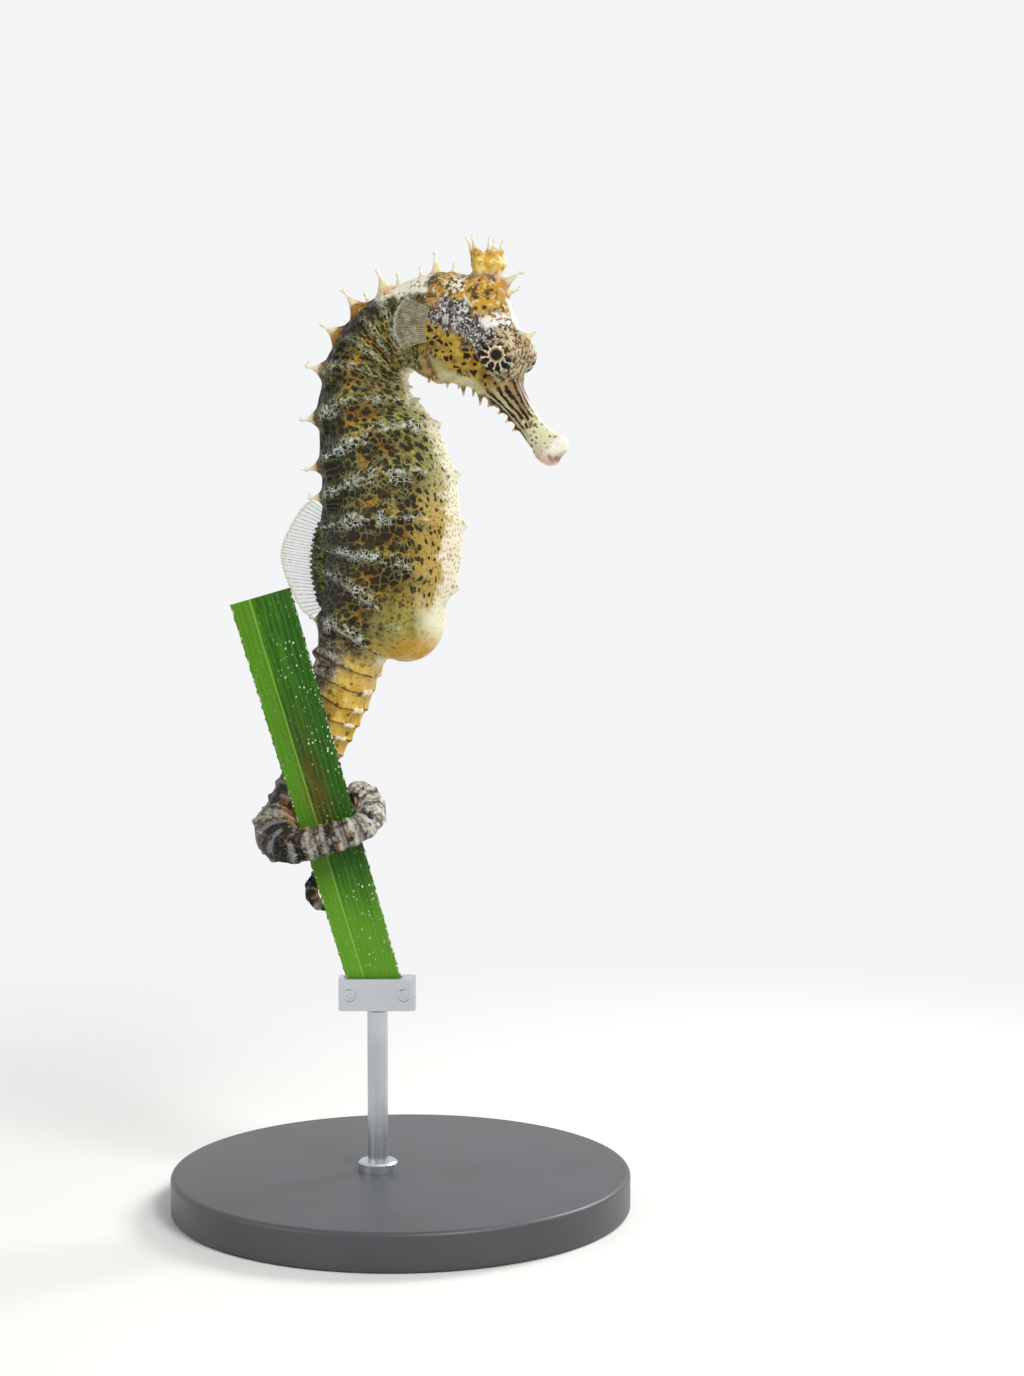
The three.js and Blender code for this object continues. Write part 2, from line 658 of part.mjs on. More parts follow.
/** A small block with a slot that grips the foot of the blade. */
function standClamp() {
  const halfLong = CLAMP.long / 2 - CLAMP.corner;
  const halfDeep = CLAMP.deep / 2 - CLAMP.corner;
  const shape = new THREE.Shape();
  shape.absarc(halfLong, halfDeep, CLAMP.corner, 0, Math.PI / 2);
  shape.absarc(-halfLong, halfDeep, CLAMP.corner, Math.PI / 2, Math.PI);
  shape.absarc(-halfLong, -halfDeep, CLAMP.corner, Math.PI, 1.5 * Math.PI);
  shape.absarc(halfLong, -halfDeep, CLAMP.corner, 1.5 * Math.PI, 2 * Math.PI);
  const options = { depth: CLAMP.high, bevelEnabled: false, curveSegments: 5 };
  const geometry = new THREE.ExtrudeGeometry(shape, options);
  geometry.rotateZ(BLADE_YAW);
  geometry.translate(clampMiddle.x, clampMiddle.y, clampTop - CLAMP.high);
  return solid(geometry).subtract(blade(GAP));
}

function standRod() {
  const bottom = BASE.height + GAP;
  const length = clampTop - CLAMP.high - GAP - bottom;
  const geometry = new THREE.CylinderGeometry(ROD.radius, ROD.radius, length, 24);
  geometry.rotateX(Math.PI / 2);
  geometry.translate(clampMiddle.x, clampMiddle.y, bottom + length / 2);
  return solid(geometry);
}

// ---------------------------------------------------------------- the whole model
const seahorse = new THREE.Group();
seahorse.add(
  piece('head', head(), COLOURS.head),
  piece('snout', bodyLength(0, CUTS.snout), COLOURS.snout),
  piece('coronet', coronet(), COLOURS.coronet),
  piece('eye_right', eyeball(-1), COLOURS.eye, 0.1),
  piece('eye_left', eyeball(1), COLOURS.eye, 0.1),
  piece('neck', thornedLength(CUTS.head + GAP, CUTS.neck), COLOURS.neck),
  piece('trunk_upper', thornedLength(CUTS.neck + PARTING, CUTS.trunk), COLOURS.trunk),
  piece('trunk_lower', trunkLower(), COLOURS.trunk),
  piece('brood_pouch', broodPouch(), COLOURS.belly),
  piece('dorsal_fin', dorsalFin(), COLOURS.fin),
  piece('pectoral_fin_right', pectoralFin(-1), COLOURS.fin),
  piece('pectoral_fin_left', pectoralFin(1), COLOURS.fin),
  piece('tail_upper', bodyLength(CUTS.tail + PARTING, CUTS.tailUpper), COLOURS.tail),
  piece('tail_middle', bodyLength(CUTS.tailUpper + PARTING, CUTS.tailMiddle), COLOURS.tail),
  piece('tail_coil_left', bodyLength(CUTS.tailMiddle + PARTING, CUTS.coilLeft), COLOURS.coil),
  piece('tail_coil_front', bodyLength(CUTS.coilLeft + PARTING, CUTS.coilFront), COLOURS.coil),
  piece('tail_coil_right', bodyLength(CUTS.coilFront + PARTING, CUTS.coilRight), COLOURS.coil),
  piece('tail_end', bodyLength(CUTS.coilRight + PARTING, axis.length), COLOURS.coil),
  piece('perch_blade', blade(), COLOURS.blade),
  piece('stand_base', standBase(), COLOURS.stand, 0.5),
  piece('stand_rod', standRod(), COLOURS.steel, 0.3, 1),
  piece('stand_clamp', standClamp(), COLOURS.steel, 0.3, 1),
);

export default seahorse;
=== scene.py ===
"""A male seahorse holding a cut seagrass blade, as a still museum model: its looks.

Sizes are in millimetres until a mesh is made, and +X is the way the animal faces.
"""
import math
from types import SimpleNamespace

import bmesh
import bpy
import numpy as np
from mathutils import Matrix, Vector


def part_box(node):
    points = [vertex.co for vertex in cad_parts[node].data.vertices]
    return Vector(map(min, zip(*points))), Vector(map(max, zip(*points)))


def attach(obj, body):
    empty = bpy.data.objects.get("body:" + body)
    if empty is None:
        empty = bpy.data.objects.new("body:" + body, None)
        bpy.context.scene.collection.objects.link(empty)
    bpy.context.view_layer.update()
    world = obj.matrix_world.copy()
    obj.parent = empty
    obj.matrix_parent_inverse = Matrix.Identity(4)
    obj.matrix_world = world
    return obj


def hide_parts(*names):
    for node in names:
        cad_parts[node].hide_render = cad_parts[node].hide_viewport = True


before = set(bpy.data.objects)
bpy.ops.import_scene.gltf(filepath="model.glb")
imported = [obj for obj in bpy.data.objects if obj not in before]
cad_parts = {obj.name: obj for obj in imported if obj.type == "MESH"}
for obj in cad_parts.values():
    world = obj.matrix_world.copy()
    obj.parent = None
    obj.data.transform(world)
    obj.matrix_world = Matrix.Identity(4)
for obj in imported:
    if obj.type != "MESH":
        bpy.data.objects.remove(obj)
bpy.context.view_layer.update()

MM = 0.001

# ---------------------------------------------------------------- driving sizes
# Each station of head and trunk is x, z, half depth and half width, from the mouth back.
HEAD_STATIONS = [
    (27.1, 117.6, 1.75, 1.5), (25.9, 118.2, 2.4, 1.9), (24.4, 119.6, 2.1, 1.9),
    (22.7, 121.4, 1.9, 1.8), (21.1, 123.5, 1.9, 1.8), (19.5, 125.5, 2.2, 2.0),
    (18.0, 127.3, 3.0, 2.6), (16.9, 129.5, 4.4, 3.5), (15.2, 132.3, 6.5, 4.5),
    (12.5, 135.0, 7.9, 5.3), (9.2, 136.6, 8.5, 5.8), (5.4, 137.2, 7.9, 5.7),
]
TRUNK_STATIONS = [
    (1.8, 137.0, 6.8, 5.1), (-1.2, 135.7, 6.4, 4.8), (-3.5, 133.5, 6.4, 4.8),
    (-4.9, 130.8, 6.7, 4.9), (-5.4, 127.5, 7.3, 5.2), (-4.9, 123.6, 8.4, 5.6),
    (-3.1, 118.7, 10.0, 6.2), (-1.5, 113.5, 10.9, 6.6), (-0.9, 108.2, 11.3, 6.9),
    (-0.9, 103.3, 11.5, 6.9), (-2.0, 98.6, 10.6, 6.5), (-4.6, 94.2, 8.4, 5.9),
    (-7.0, 89.9, 6.5, 5.3),
]
BLADE_YAW = math.radians(25)
BLADE_LEAN = math.radians(16.2)
BLADE_CENTRE = {"right": -14.2, "out": 1.0, "z": 71.0}
BLADE = {"up": 26, "down": 40, "half": 4.5, "taper": 0.012, "thick": 0.8, "edge": 0.55,
         "veins": 11, "vein": 0.03, "tooth": 0.16, "steps": 260, "sides": 40}
TAIL = {"root": 5.3, "tip": 0.7, "flatness": 0.93}
COIL = {"centre": 10.0, "tilt": 2.7, "straight": 4.25, "start": -50, "end": 235, "step": 19}
CURL = {"across": -3.4, "down": 21.4, "start": -130, "end": -385, "step": 17,
        "from": 2.6, "to": 1.35}
GAP = 0.3
THORNS = [2.7, 3.1, 2.6, 2.4, 2.3, 2.1, 1.8, 0, 0, 0, 1.4]
TRUNK_RINGS = {"count": 11, "first": 0.9, "neck_pitch": 3.3, "chest_pitch": 6.3}
TAIL_RINGS = {"first": 2.9, "last": 1.55}
SPINE_NECK = 0.19
RING_ARCH = 1.5
ROUND_TAIL = 0.93
ROUND_END = 0.6
EYE = {"at": (18.2, 3.35, 132.7), "radius": 2.65, "gaze": (0.41, 0.9, -0.15),
       "cornea": 0.1, "pupil": 0.8, "iris": 1.08, "petals": 11}
LID = {"aside": 1.95, "ahead": 2.0, "thick": 0.42, "fillet": 0.9}
CORONET = {"x": 15.0, "base": 143.4, "rim": 148.2, "tips": 5}
BACK_FIN = {"top": (-12.2, 108.4), "bottom": (-12.6, 93.8), "rays": 34, "level": 8,
            "splay": 26, "shortest": 4.0, "swell": 4.6, "steps": 14, "fork": 9, "thick": 0.08,
            "ray_root": 0.085, "ray_taper": 0.045}
SIDE_FIN = {"at": (2.9, 6.3, 137.5), "rays": 19, "spread": 58, "radius": 4.5, "swell": 0.4,
            "hinge": 4.2, "splay": 0.12, "lean": 0.1, "foot": (5.0, 2.4), "steps": 12,
            "thick": 0.1, "ray_root": 0.09, "ray_tip": 0.05}
BASE = {"radius": 36, "height": 6, "bevel": 0.8}
ROD = {"radius": 1.6}
CLAMP = {"deep": 4.2, "screws": 4.2}
FRINGE = {"seed": 11, "shortest": 0.5, "longest": 1.1, "thick": 0.12, "sides": 5, "spread": 0.55,
          "curl": 0.5, "rows": 6}

# Rounded forms as middle, half sizes and tilt; those off the middle line are paired.
ORBIT = ((18.2, 2.3, 132.7), (3.2, 3.35, 3.2), 0)
GILL_COVER = ((11.4, 1.6, 133.9), (4.6, 4.7, 5.6), 0.35)
FOREHEAD = ((14.7, 0, 139.6), (4.0, 3.2, 3.8), 0)
NOSE_KNOB = ((20.2, 0, 134.4), (1.9, 1.7, 1.9), 0)
POUCH = ((0.9, 0, 92.9), (6.5, 5.6, 7.1), -0.2)
FIN_BASE = ((-11.9, 0, 101.0), (3.3, 1.5, 7.4), 0)
FIN_END = ((-12.9, 0, 95.4), (1.5, 1.3, 1.6), 0)
LOWER_LIP = ((24.5, 0, 117.6), (1.7, 1.35, 1.05), 0.5)
UPPER_LIP = ((27.2, 0, 119.35), (1.15, 1.35, 1.1), 0)
MOUTH = ((28.4, 0, 116.35), (2.2, 2.2, 1.6), 0.524)
MOUTH_BOX = ((25.0, -2.0, 114.0), (30.0, 2.0, 118.5))

# Spines of the head: root, tip and the radius of the root.
PAIRED_SPINES = [
    ((16.6, 2.4, 135.0), (16.8, 3.2, 137.0), 0.9),
    ((9.6, 2.2, 129.8), (9.3, 2.0, 127.9), 0.9),
    ((12.0, 2.0, 128.6), (11.9, 1.7, 126.7), 1.0),
    ((14.8, 1.7, 127.3), (14.6, 1.5, 125.2), 1.0),
    ((6.8, 2.4, 130.6), (6.4, 2.4, 128.7), 1.6),
]
MIDDLE_SPINES = [
    ((20.4, 0, 134.2), (23.1, 0, 135.9), 1.5),
    ((16.8, 0, 142.4), (20.6, 0, 144.9), 1.9),
    ((17.2, 0, 141.3), (20.3, 0, 142.3), 1.3),
    ((7.0, 0, 141.8), (6.2, 0, 148.2), 4.4),
    ((9.0, 0, 143.8), (9.5, 0, 146.2), 1.1),
    ((4.4, 0, 142.8), (3.7, 0, 146.1), 1.1),
]
# Small spines under the jaw, by their place along the axis.
JAW_SPINES = (7.4, 9.2, 11.0, 12.8)

# Raised lines of the head as x and z at each side, and their thickness.
HEAD_RIDGES = [
    ([(7.9, 145.0), (9.1, 143.9), (11.4, 142.6), (13.5, 140.9), (15.1, 139.0), (16.6, 136.6)], 0.17),
    ([(12.6, 144.3), (14.8, 143.2), (17.4, 143.0)], 0.16),
    ([(20.0, 130.0), (20.6, 127.6), (21.6, 125.0), (22.8, 123.0)], 0.12),
    ([(16.4, 128.6), (18.6, 125.4), (20.4, 122.6)], 0.1),
    ([(8.6, 141.0), (10.2, 139.4), (12.4, 138.0), (14.6, 136.4)], 0.14),
    ([(17.2, 139.8), (18.6, 138.4), (19.4, 136.8)], 0.14),
]

# Relief of the bony plates: heights and widths in mm, those of the tail after those of the trunk.
PLATES = {"trunk": 0.55, "tail": 0.3, "tail_root": 0.14, "wide": 0.68, "sunk": 0.2, "ridge": 0.16}
STEP_HEIGHT = 0.26
RIDGE_WIDTH = 0.75
KNOB_WIDTH = 1.15

# The skin's grid: a fine cell, how many of them to a block, and how many triangles are kept.
VOXEL = 0.17
COARSE = 6
OUTSIDE = 9.0
SKIN_TRIANGLES = 194_000
AXIS_STEP = 0.25
PER_STATION = 24
TURNS = 721
BATCH = 1500
HINT_BATCH = 20000

# Size of each filament's patch on the map OFBake.
PATCH = 0.003

# The flesh nodes that the one skin stands for.
FLESH = ("head", "snout", "coronet", "neck", "trunk_upper", "trunk_lower", "brood_pouch",
         "tail_upper", "tail_middle", "tail_coil_left", "tail_coil_front", "tail_coil_right",
         "tail_end")
SIDE_NAMES = {-1: "right", 1: "left"}

# The studio: each lamp's name, place, size and power.
BACKDROP = (0.9, 0.91, 0.92)
FLOOR = 1500
FLOOR_FADE = (70, 240)
WORLD_LIGHT = 0.34
LAMPS = (("key", (330, -190, 430), 180, 1.75), ("fill", (-230, -330, 220), 260, 0.4),
         ("rim", (180, 330, 330), 160, 1.5))
LAMP_AIM = (0, 0, 95)
VIEW = {"azimuth": 25.0, "elevation": 4.3, "distance": 400.0, "aside": 17.4, "height": 81.7,
        "lens": 67.5}


# ---------------------------------------------------------------- small helpers
def smooth(low, high, value):
    """A smooth step from 0 at low to 1 at high, where low may be the larger."""
    t = np.clip((value - low) / (high - low), 0, 1)
    return t * t * (3 - 2 * t)


def lerp(a, b, t):
    """The value a share t of the way from a to b."""
    return a + (b - a) * t


def unit(vectors):
    """Vectors of length 1, along the last axis."""
    vectors = np.asarray(vectors, float)
    return vectors / np.linalg.norm(vectors, axis=-1, keepdims=True)


def dot(a, b):
    """Dot products along the last axis."""
    return (a * b).sum(-1)


def soft_min(a, b, reach):
    """The smaller of two distances, with a fillet where they are about equal."""
    near = np.maximum(reach - np.abs(a - b), 0) / reach
    return np.minimum(a, b) - near * near * reach / 4


def mirrored(point, side):
    """A point of the left side for side 1, and its mirror image for side -1."""
    x, y, z = point
    return np.array([x, side * y, z])


def write_values(mesh, name, values):
    """One number at each point of a mesh, for a material to read."""
    attribute = mesh.attributes.new(name, "FLOAT", "POINT")
    attribute.data.foreach_set("value", np.asarray(values, np.float32))


def apply_modifiers(piece):
    """Makes what a piece's modifiers do part of its mesh."""
    graph = bpy.context.evaluated_depsgraph_get()
    mesh = bpy.data.meshes.new_from_object(piece.evaluated_get(graph))
    piece.modifiers.clear()
    piece.data = mesh


def dress(piece, material, slot, *nodes):
    """Gives a piece its material and hides the solids that it stands for; slot is not used."""
    piece.data.materials.append(material)
    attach(piece, "root")
    if nodes:
        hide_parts(*nodes)


def linked(name, data):
    """A scene object that holds a mesh, a light or a camera."""
    made = bpy.data.objects.new(name, data)
    bpy.context.scene.collection.objects.link(made)
    return made


def mesh_object(name, points, faces):
    """A smooth-shaded mesh object from points in millimetres."""
    mesh = bpy.data.meshes.new(name)
    mesh.from_pydata([tuple(p) for p in np.asarray(points) * MM], [], faces)
    mesh.update()
    mesh.polygons.foreach_set("use_smooth", [True] * len(mesh.polygons))
    return linked(name, mesh)


def band_faces(rows, around, start=0, closed=True):
    """Quads between rows of points that follow one another, closed where each row is a ring."""
    faces = []
    for low in range(start, start + (rows - 1) * around, around):
        for c in range(around if closed else around - 1):
            d = (c + 1) % around
            faces.append((low + c, low + around + c, low + around + d, low + d))
    return faces


def tube_faces(rows, around, start=0):
    """The faces of a tube through rings of points, closed at both ends."""
    end = start + (rows - 1) * around
    faces = [(a, d, c, b) for a, b, c, d in band_faces(rows, around, start)]
    faces.append(tuple(range(start + around - 1, start - 1, -1)))
    faces.append(tuple(range(end, end + around)))
    return faces


def linear(hex_colour):
    """A colour as written, sRGB, in the linear values that nodes take."""
    parts = [((hex_colour >> shift) & 255) / 255 for shift in (16, 8, 0)]
    return tuple(p / 12.92 if p <= 0.04045 else ((p + 0.055) / 1.055) ** 2.4 for p in parts)


# ---------------------------------------------------------------- the blade's own frame
RIGHTWARD = np.array([math.cos(BLADE_YAW), math.sin(BLADE_YAW), 0])
OUTWARD = np.array([math.sin(BLADE_YAW), -math.cos(BLADE_YAW), 0])
UPWARD = np.array([0, 0, 1.0])
ACROSS = RIGHTWARD * math.cos(BLADE_LEAN) + UPWARD * math.sin(BLADE_LEAN)
DOWNWARD = RIGHTWARD * math.sin(BLADE_LEAN) - UPWARD * math.cos(BLADE_LEAN)
BLADE_ORIGIN = (RIGHTWARD * BLADE_CENTRE["right"] + OUTWARD * BLADE_CENTRE["out"]
                + UPWARD * BLADE_CENTRE["z"])


def blade_vector(across, down, out):
    """A direction given as parts across, down and out of the blade."""
    across, down, out = (np.asarray(v, float)[..., None] for v in (across, down, out))
    return across * ACROSS + down * DOWNWARD + out * OUTWARD


def blade_point(across, down, out):
    """A place given as parts across, down and out of the blade."""
    return blade_vector(across, down, out) + BLADE_ORIGIN


# ---------------------------------------------------------------- the body's axis
# Below, s is a length along the axis from the mouth, and psi the angle round a section from the
# belly, at 0, to the back, at pi.
def trunk_stations():
    """Place, way to the belly and half sizes at each station of head and trunk."""
    rows = np.array(HEAD_STATIONS + TRUNK_STATIONS)
    steps = np.diff(rows[:, :2], axis=0)
    steps = np.vstack([steps[:1], steps[1:] + steps[:-1], steps[-1:]])
    belly = unit(np.column_stack([-steps[:, 1], np.zeros(len(rows)), steps[:, 0]]))
    return [((x, 0, z), b, deep, wide) for (x, z, deep, wide), b in zip(rows, belly)]


def coil_point(turn):
    """One loop round the flat blade: straight behind and in front, round past its edges."""
    aside, forth = math.cos(turn), math.sin(turn)
    start, end = math.radians(COIL["start"]), math.radians(COIL["end"])
    reach = BLADE["thick"] / 2 + GAP + lerp(3.8, 2.3, (turn - start) / (end - start))
    flat = aside / math.hypot(aside, 0.35)
    return blade_point(-(COIL["straight"] * flat + reach * aside),
                       COIL["centre"] + COIL["tilt"] * forth, reach * forth)


def tail_stations():
    """The tail comes down behind the blade, goes once round it, and ends in a curl behind."""
    rows = [((-8.8, 0, 85.7), (0.93, 0, 0.36)), ((-10.5, 0, 81.2), (0.93, -0.1, 0.36)),
            (blade_point(4.0, -4.4, -6.1), blade_vector(0.8, 0, 0.6)),
            (blade_point(0.6, -0.1, -6.0), blade_vector(0.65, 0, 0.76)),
            (blade_point(-2.9, 4.1, -5.4), blade_vector(0.55, 0, 0.83))]
    for degrees in range(COIL["start"], COIL["end"] + 1, COIL["step"]):
        turn = math.radians(degrees)
        rows.append((coil_point(turn), blade_vector(math.cos(turn), 0, -math.sin(turn))))
    rows += [(blade_point(3.6, 10.6, -2.9), blade_vector(-0.5, 0, 0.87)),
             (blade_point(1.0, 14.2, -2.7), blade_vector(-0.2, 0.4, 0.9)),
             (blade_point(-2.3, 17.2, -2.4), blade_vector(0.1, 0.7, 0.7))]
    for degrees in range(CURL["start"], CURL["end"] - 1, -CURL["step"]):
        part = (CURL["start"] - degrees) / (CURL["start"] - CURL["end"])
        radius = lerp(CURL["from"], CURL["to"], part)
        aside, below = math.cos(math.radians(degrees)), math.sin(math.radians(degrees))
        at = blade_point(CURL["across"] + radius * aside, CURL["down"] + radius * below, -1.9)
        rows.append((at, blade_vector(-aside, -below, 0.2)))
    places = np.array([np.ravel(at) for at, _ in rows], float)
    run = np.concatenate([[0], np.cumsum(np.linalg.norm(np.diff(places, axis=0), axis=1))])
    deep = TAIL["tip"] + (TAIL["root"] - TAIL["tip"]) * (1 - run / run[-1])
    return [(at, np.ravel(belly), d, d * TAIL["flatness"])
            for at, (_, belly), d in zip(places, rows, deep)]


def catmull(points):
    """Samples of a Catmull-Rom curve, the same number to each station."""
    points = np.asarray(points, float)
    ends = np.vstack([2 * points[0] - points[1], points, 2 * points[-1] - points[-2]])
    t = np.arange((len(points) - 1) * PER_STATION + 1) / PER_STATION
    i = np.minimum(t.astype(int), len(points) - 2)
    w = (t - i)[:, None]
    before, start, end, after = ends[i], ends[i + 1], ends[i + 2], ends[i + 3]
    leave, arrive = 0.5 * (end - before), 0.5 * (after - start)
    return (start + leave * w + (3 * (end - start) - 2 * leave - arrive) * w ** 2
            + (2 * (start - end) + leave + arrive) * w ** 3)


class Axis:
    """The body's middle line, read at any length for its place, directions and sizes."""

    def __init__(self):
        stations = trunk_stations() + tail_stations()
        at = catmull([np.ravel(s[0]) for s in stations])
        belly = catmull([np.ravel(s[1]) for s in stations])
        halves = catmull([s[2:] for s in stations])
        run = np.concatenate([[0], np.cumsum(np.linalg.norm(np.diff(at, axis=0), axis=1))])
        self.length = run[-1]
        self.station = run[::PER_STATION]
        count = int(self.length / AXIS_STEP) + 1
        self.step = self.length / (count - 1)
        self.s = np.linspace(0, self.length, count)
        even = [np.interp(self.s, run, column) for column in np.hstack([at, belly, halves]).T]
        self.at = np.column_stack(even[:3])
        self.along = unit(np.gradient(self.at, axis=0))
        belly = np.column_stack(even[3:6])
        self.belly = unit(belly - self.along * dot(belly, self.along)[:, None])
        self.right = -np.cross(self.along, self.belly)
        self.deep, self.wide = even[6], even[7]
        self.bend = np.gradient(self.along, self.step, axis=0)

    def read(self, s, *fields):
        """Those fields of the axis at each length, each read between two samples."""
        place = np.clip(s / self.step, 0, len(self.s) - 1.001)
        i = place.astype(np.int32)
        w = (place - i).astype(np.float32)
        found = []
        for field in fields:
            values = getattr(self, field).astype(np.float32)
            part = w[:, None] if values.ndim == 2 else w
            found.append(values[i] * (1 - part) + values[i + 1] * part)
        return found


AXIS = Axis()
NECK_S = AXIS.station[len(HEAD_STATIONS)]
TAIL_S = AXIS.station[len(HEAD_STATIONS) + len(TRUNK_STATIONS)]
COIL_S = AXIS.station[len(HEAD_STATIONS) + len(TRUNK_STATIONS) + 2]


def ring_lengths():
    """Lengths along the axis of every bony ring: wide ones on the trunk, then closer ones."""
    found = []
    s = NECK_S + TRUNK_RINGS["first"]
    for ring in range(TRUNK_RINGS["count"]):
        found.append(s)
        part = float(smooth(1.5, 4.5, ring))
        s += lerp(TRUNK_RINGS["neck_pitch"], TRUNK_RINGS["chest_pitch"], part)
    s = found[-1] + TAIL_RINGS["first"] * 1.5
    while s < AXIS.length - TAIL_RINGS["last"]:
        found.append(s)
        part = (s - TAIL_S) / (AXIS.length - TAIL_S)
        s += lerp(TAIL_RINGS["first"], TAIL_RINGS["last"], part)
    return np.array(found)


RINGS = ring_lengths()
PITCH = np.gradient(RINGS)


# ---------------------------------------------------------------- the section's outline
def outline_table(corners, bulge=0.06):
    """Radius of a ridged outline for every angle from belly to back, in unit half sizes."""
    angles, radii = [], []
    for (u0, v0), (u1, v1) in zip(corners, corners[1:]):
        t = np.linspace(0, 1, 40)
        swell = 1 + bulge * 4 * t * (1 - t)
        u, v = lerp(u0, u1, t) * swell, lerp(v0, v1, t) * swell
        angles.append(np.arctan2(v, u))
        radii.append(np.hypot(u, v))
    table = np.interp(np.linspace(0, math.pi, TURNS), np.concatenate(angles), np.concatenate(radii))
    reach = 24
    kernel = np.hanning(2 * reach + 1)
    padded = np.pad(table, reach, mode="reflect")
    return np.convolve(padded, kernel / kernel.sum(), mode="valid").astype(np.float32)


TRUNK_CORNERS = [(1.0, 0), (0.66, 0.66), (-0.12, 1.0), (-0.96, 0.5), (-0.97, 0)]
TAIL_CORNERS = [(0.86, 0), (0.8, 0.72), (-0.8, 0.72), (-0.86, 0)]
TRUNK_TABLE = outline_table(TRUNK_CORNERS)
TAIL_TABLE = outline_table(TAIL_CORNERS, 0.05)


def corner_angle(corner):
    """How far round a section a corner lies, from the belly."""
    return math.atan2(corner[1], corner[0])


def body_weights(s):
    """How much of the section is the trunk's, and how much the tail's."""
    return smooth(NECK_S - 1, NECK_S + 9, s), smooth(TAIL_S - 9, TAIL_S + 4, s)


def ring_number(s, psi):
    """The ring at a place as a running number; trunk rings arch up on the flanks."""
    on_trunk, on_tail = body_weights(s)
    arched = s + RING_ARCH * on_trunk * (1 - on_tail) * np.sin(psi) ** 2
    before = (np.minimum(arched - RINGS[0], 0)) / PITCH[0]
    after = np.maximum(arched - RINGS[-1], 0) / PITCH[-1]
    return np.interp(arched, RINGS, np.arange(len(RINGS))) + before + after


def knob_rows(ring, fade):
    """Each row of knobs: its angle and height on the trunk, and its angle and height on the tail."""
    chest = smooth(2.4, 2.6, ring)
    belly = chest * smooth(8.6, 8.4, ring)
    under_fin = smooth(6.5, 7.0, ring) * smooth(9.6, 9.0, ring)
    front, flank, back = map(corner_angle, TRUNK_CORNERS[1:4])
    return [
        (0.0, 0.0, 1.05 * belly, 0.0),
        (front, 0.15, 0.15 + 0.35 * chest, 0.03 + 0.55 * fade ** 2),
        (flank, math.pi / 2, 0.5, 0.03),
        (back, corner_angle(TAIL_CORNERS[2]), 0.9 - 0.6 * under_fin, 0.04 + 0.3 * fade ** 1.5),
    ]


def relief(s, psi, radius):
    """Height of rings, ridges and knobs over the smooth outline, in mm."""
    on_trunk, on_tail = body_weights(s)
    number = ring_number(s, psi)
    nearest = np.clip(np.round(number), 0, len(RINGS) - 1)
    pitch = np.interp(nearest, np.arange(len(PITCH)), PITCH)
    from_ring = np.abs(number - nearest) * pitch
    fade = 1 - smooth(TAIL_S, AXIS.length, s)
    size = lerp(1.0, 0.3 + 0.4 * fade, on_tail)
    crest = np.exp(-(from_ring / (PLATES["wide"] * size)) ** 2)
    crest *= 0.8 + 0.2 * np.sin(13 * psi + 2.3 * nearest) + 0.14 * np.sin(37 * psi - 1.7 * nearest)
    tail_crest = PLATES["tail"] + PLATES["tail_root"] * fade
    height = lerp(PLATES["trunk"], tail_crest, on_tail) * crest - PLATES["sunk"]
    height = on_trunk * size * height
    turn = 2 * math.pi * number
    step = 0.9 * np.sin(turn) + 0.36 * np.sin(2 * turn) + 0.14 * np.sin(3 * turn)
    height -= STEP_HEIGHT * on_trunk * (1 - 0.7 * on_tail) * step * smooth(0.1, 0.6, psi)
    height *= 1 - 0.75 * smooth(0.9, 0.3, psi) * (1 - on_tail)
    for on_body, on_end, knob, tail_knob in knob_rows(nearest, fade):
        angle = lerp(on_body, on_end, on_tail)
        from_ridge = np.abs(psi - angle) * radius
        ridge = np.exp(-(from_ridge / (RIDGE_WIDTH * size)) ** 2)
        height += PLATES["ridge"] * on_trunk * size * ridge
        away = np.hypot(from_ring, from_ridge) / (KNOB_WIDTH * size)
        point = lerp(np.maximum(1 - away, 0) ** 1.4, np.maximum(1 - away ** 2, 0) ** 0.8, on_tail)
        height += on_trunk * lerp(knob, tail_knob, on_tail) * point
    return height


# ---------------------------------------------------------------- the skin as a distance field
def axis_hints(points, apart=9.0, far=3.5):
    """The stretch of body nearest to each point, and a second one or -1 where none is near."""
    every = 2
    at = AXIS.at[::every]
    lengths = AXIS.s[::every]
    bulk = (AXIS.deep + AXIS.wide)[::every] / 2
    first = np.empty(len(points))
    second = np.empty(len(points))
    for start in range(0, len(points), HINT_BATCH):
        part = points[start:start + HINT_BATCH]
        square = (part ** 2).sum(1)[:, None] - 2 * part @ at.T + (at ** 2).sum(1)[None]
        beyond = np.sqrt(np.maximum(square, 0)) - bulk
        best = beyond.argmin(1)
        first[start:start + HINT_BATCH] = lengths[best]
        beyond[np.abs(lengths[None] - lengths[best][:, None]) < apart] = 1e3
        other = beyond.argmin(1)
        near = beyond[np.arange(len(part)), other] < far
        second[start:start + HINT_BATCH] = np.where(near, lengths[other], -1)
    return first, second


def project(points, s):
    """The length on the axis whose section holds each point, near a first guess."""
    for _ in range(4):
        at, along, bend = AXIS.read(s, "at", "along", "bend")
        off = points - at
        slope = np.maximum(1 - dot(off, bend), 0.4)
        s = np.clip(s + dot(off, along) / slope, 0, AXIS.length)
    return s


def section_place(points, s):
    """Angle from the belly, unit radius and true radius of each point in its section."""
    at, belly, right, deep, wide = AXIS.read(s, "at", "belly", "right", "deep", "wide")
    off = points - at
    u, v = dot(off, belly), dot(off, right)
    psi = np.arctan2(np.abs(v) / wide, u / deep)
    return psi, np.hypot(u / deep, v / wide), np.hypot(u, v)


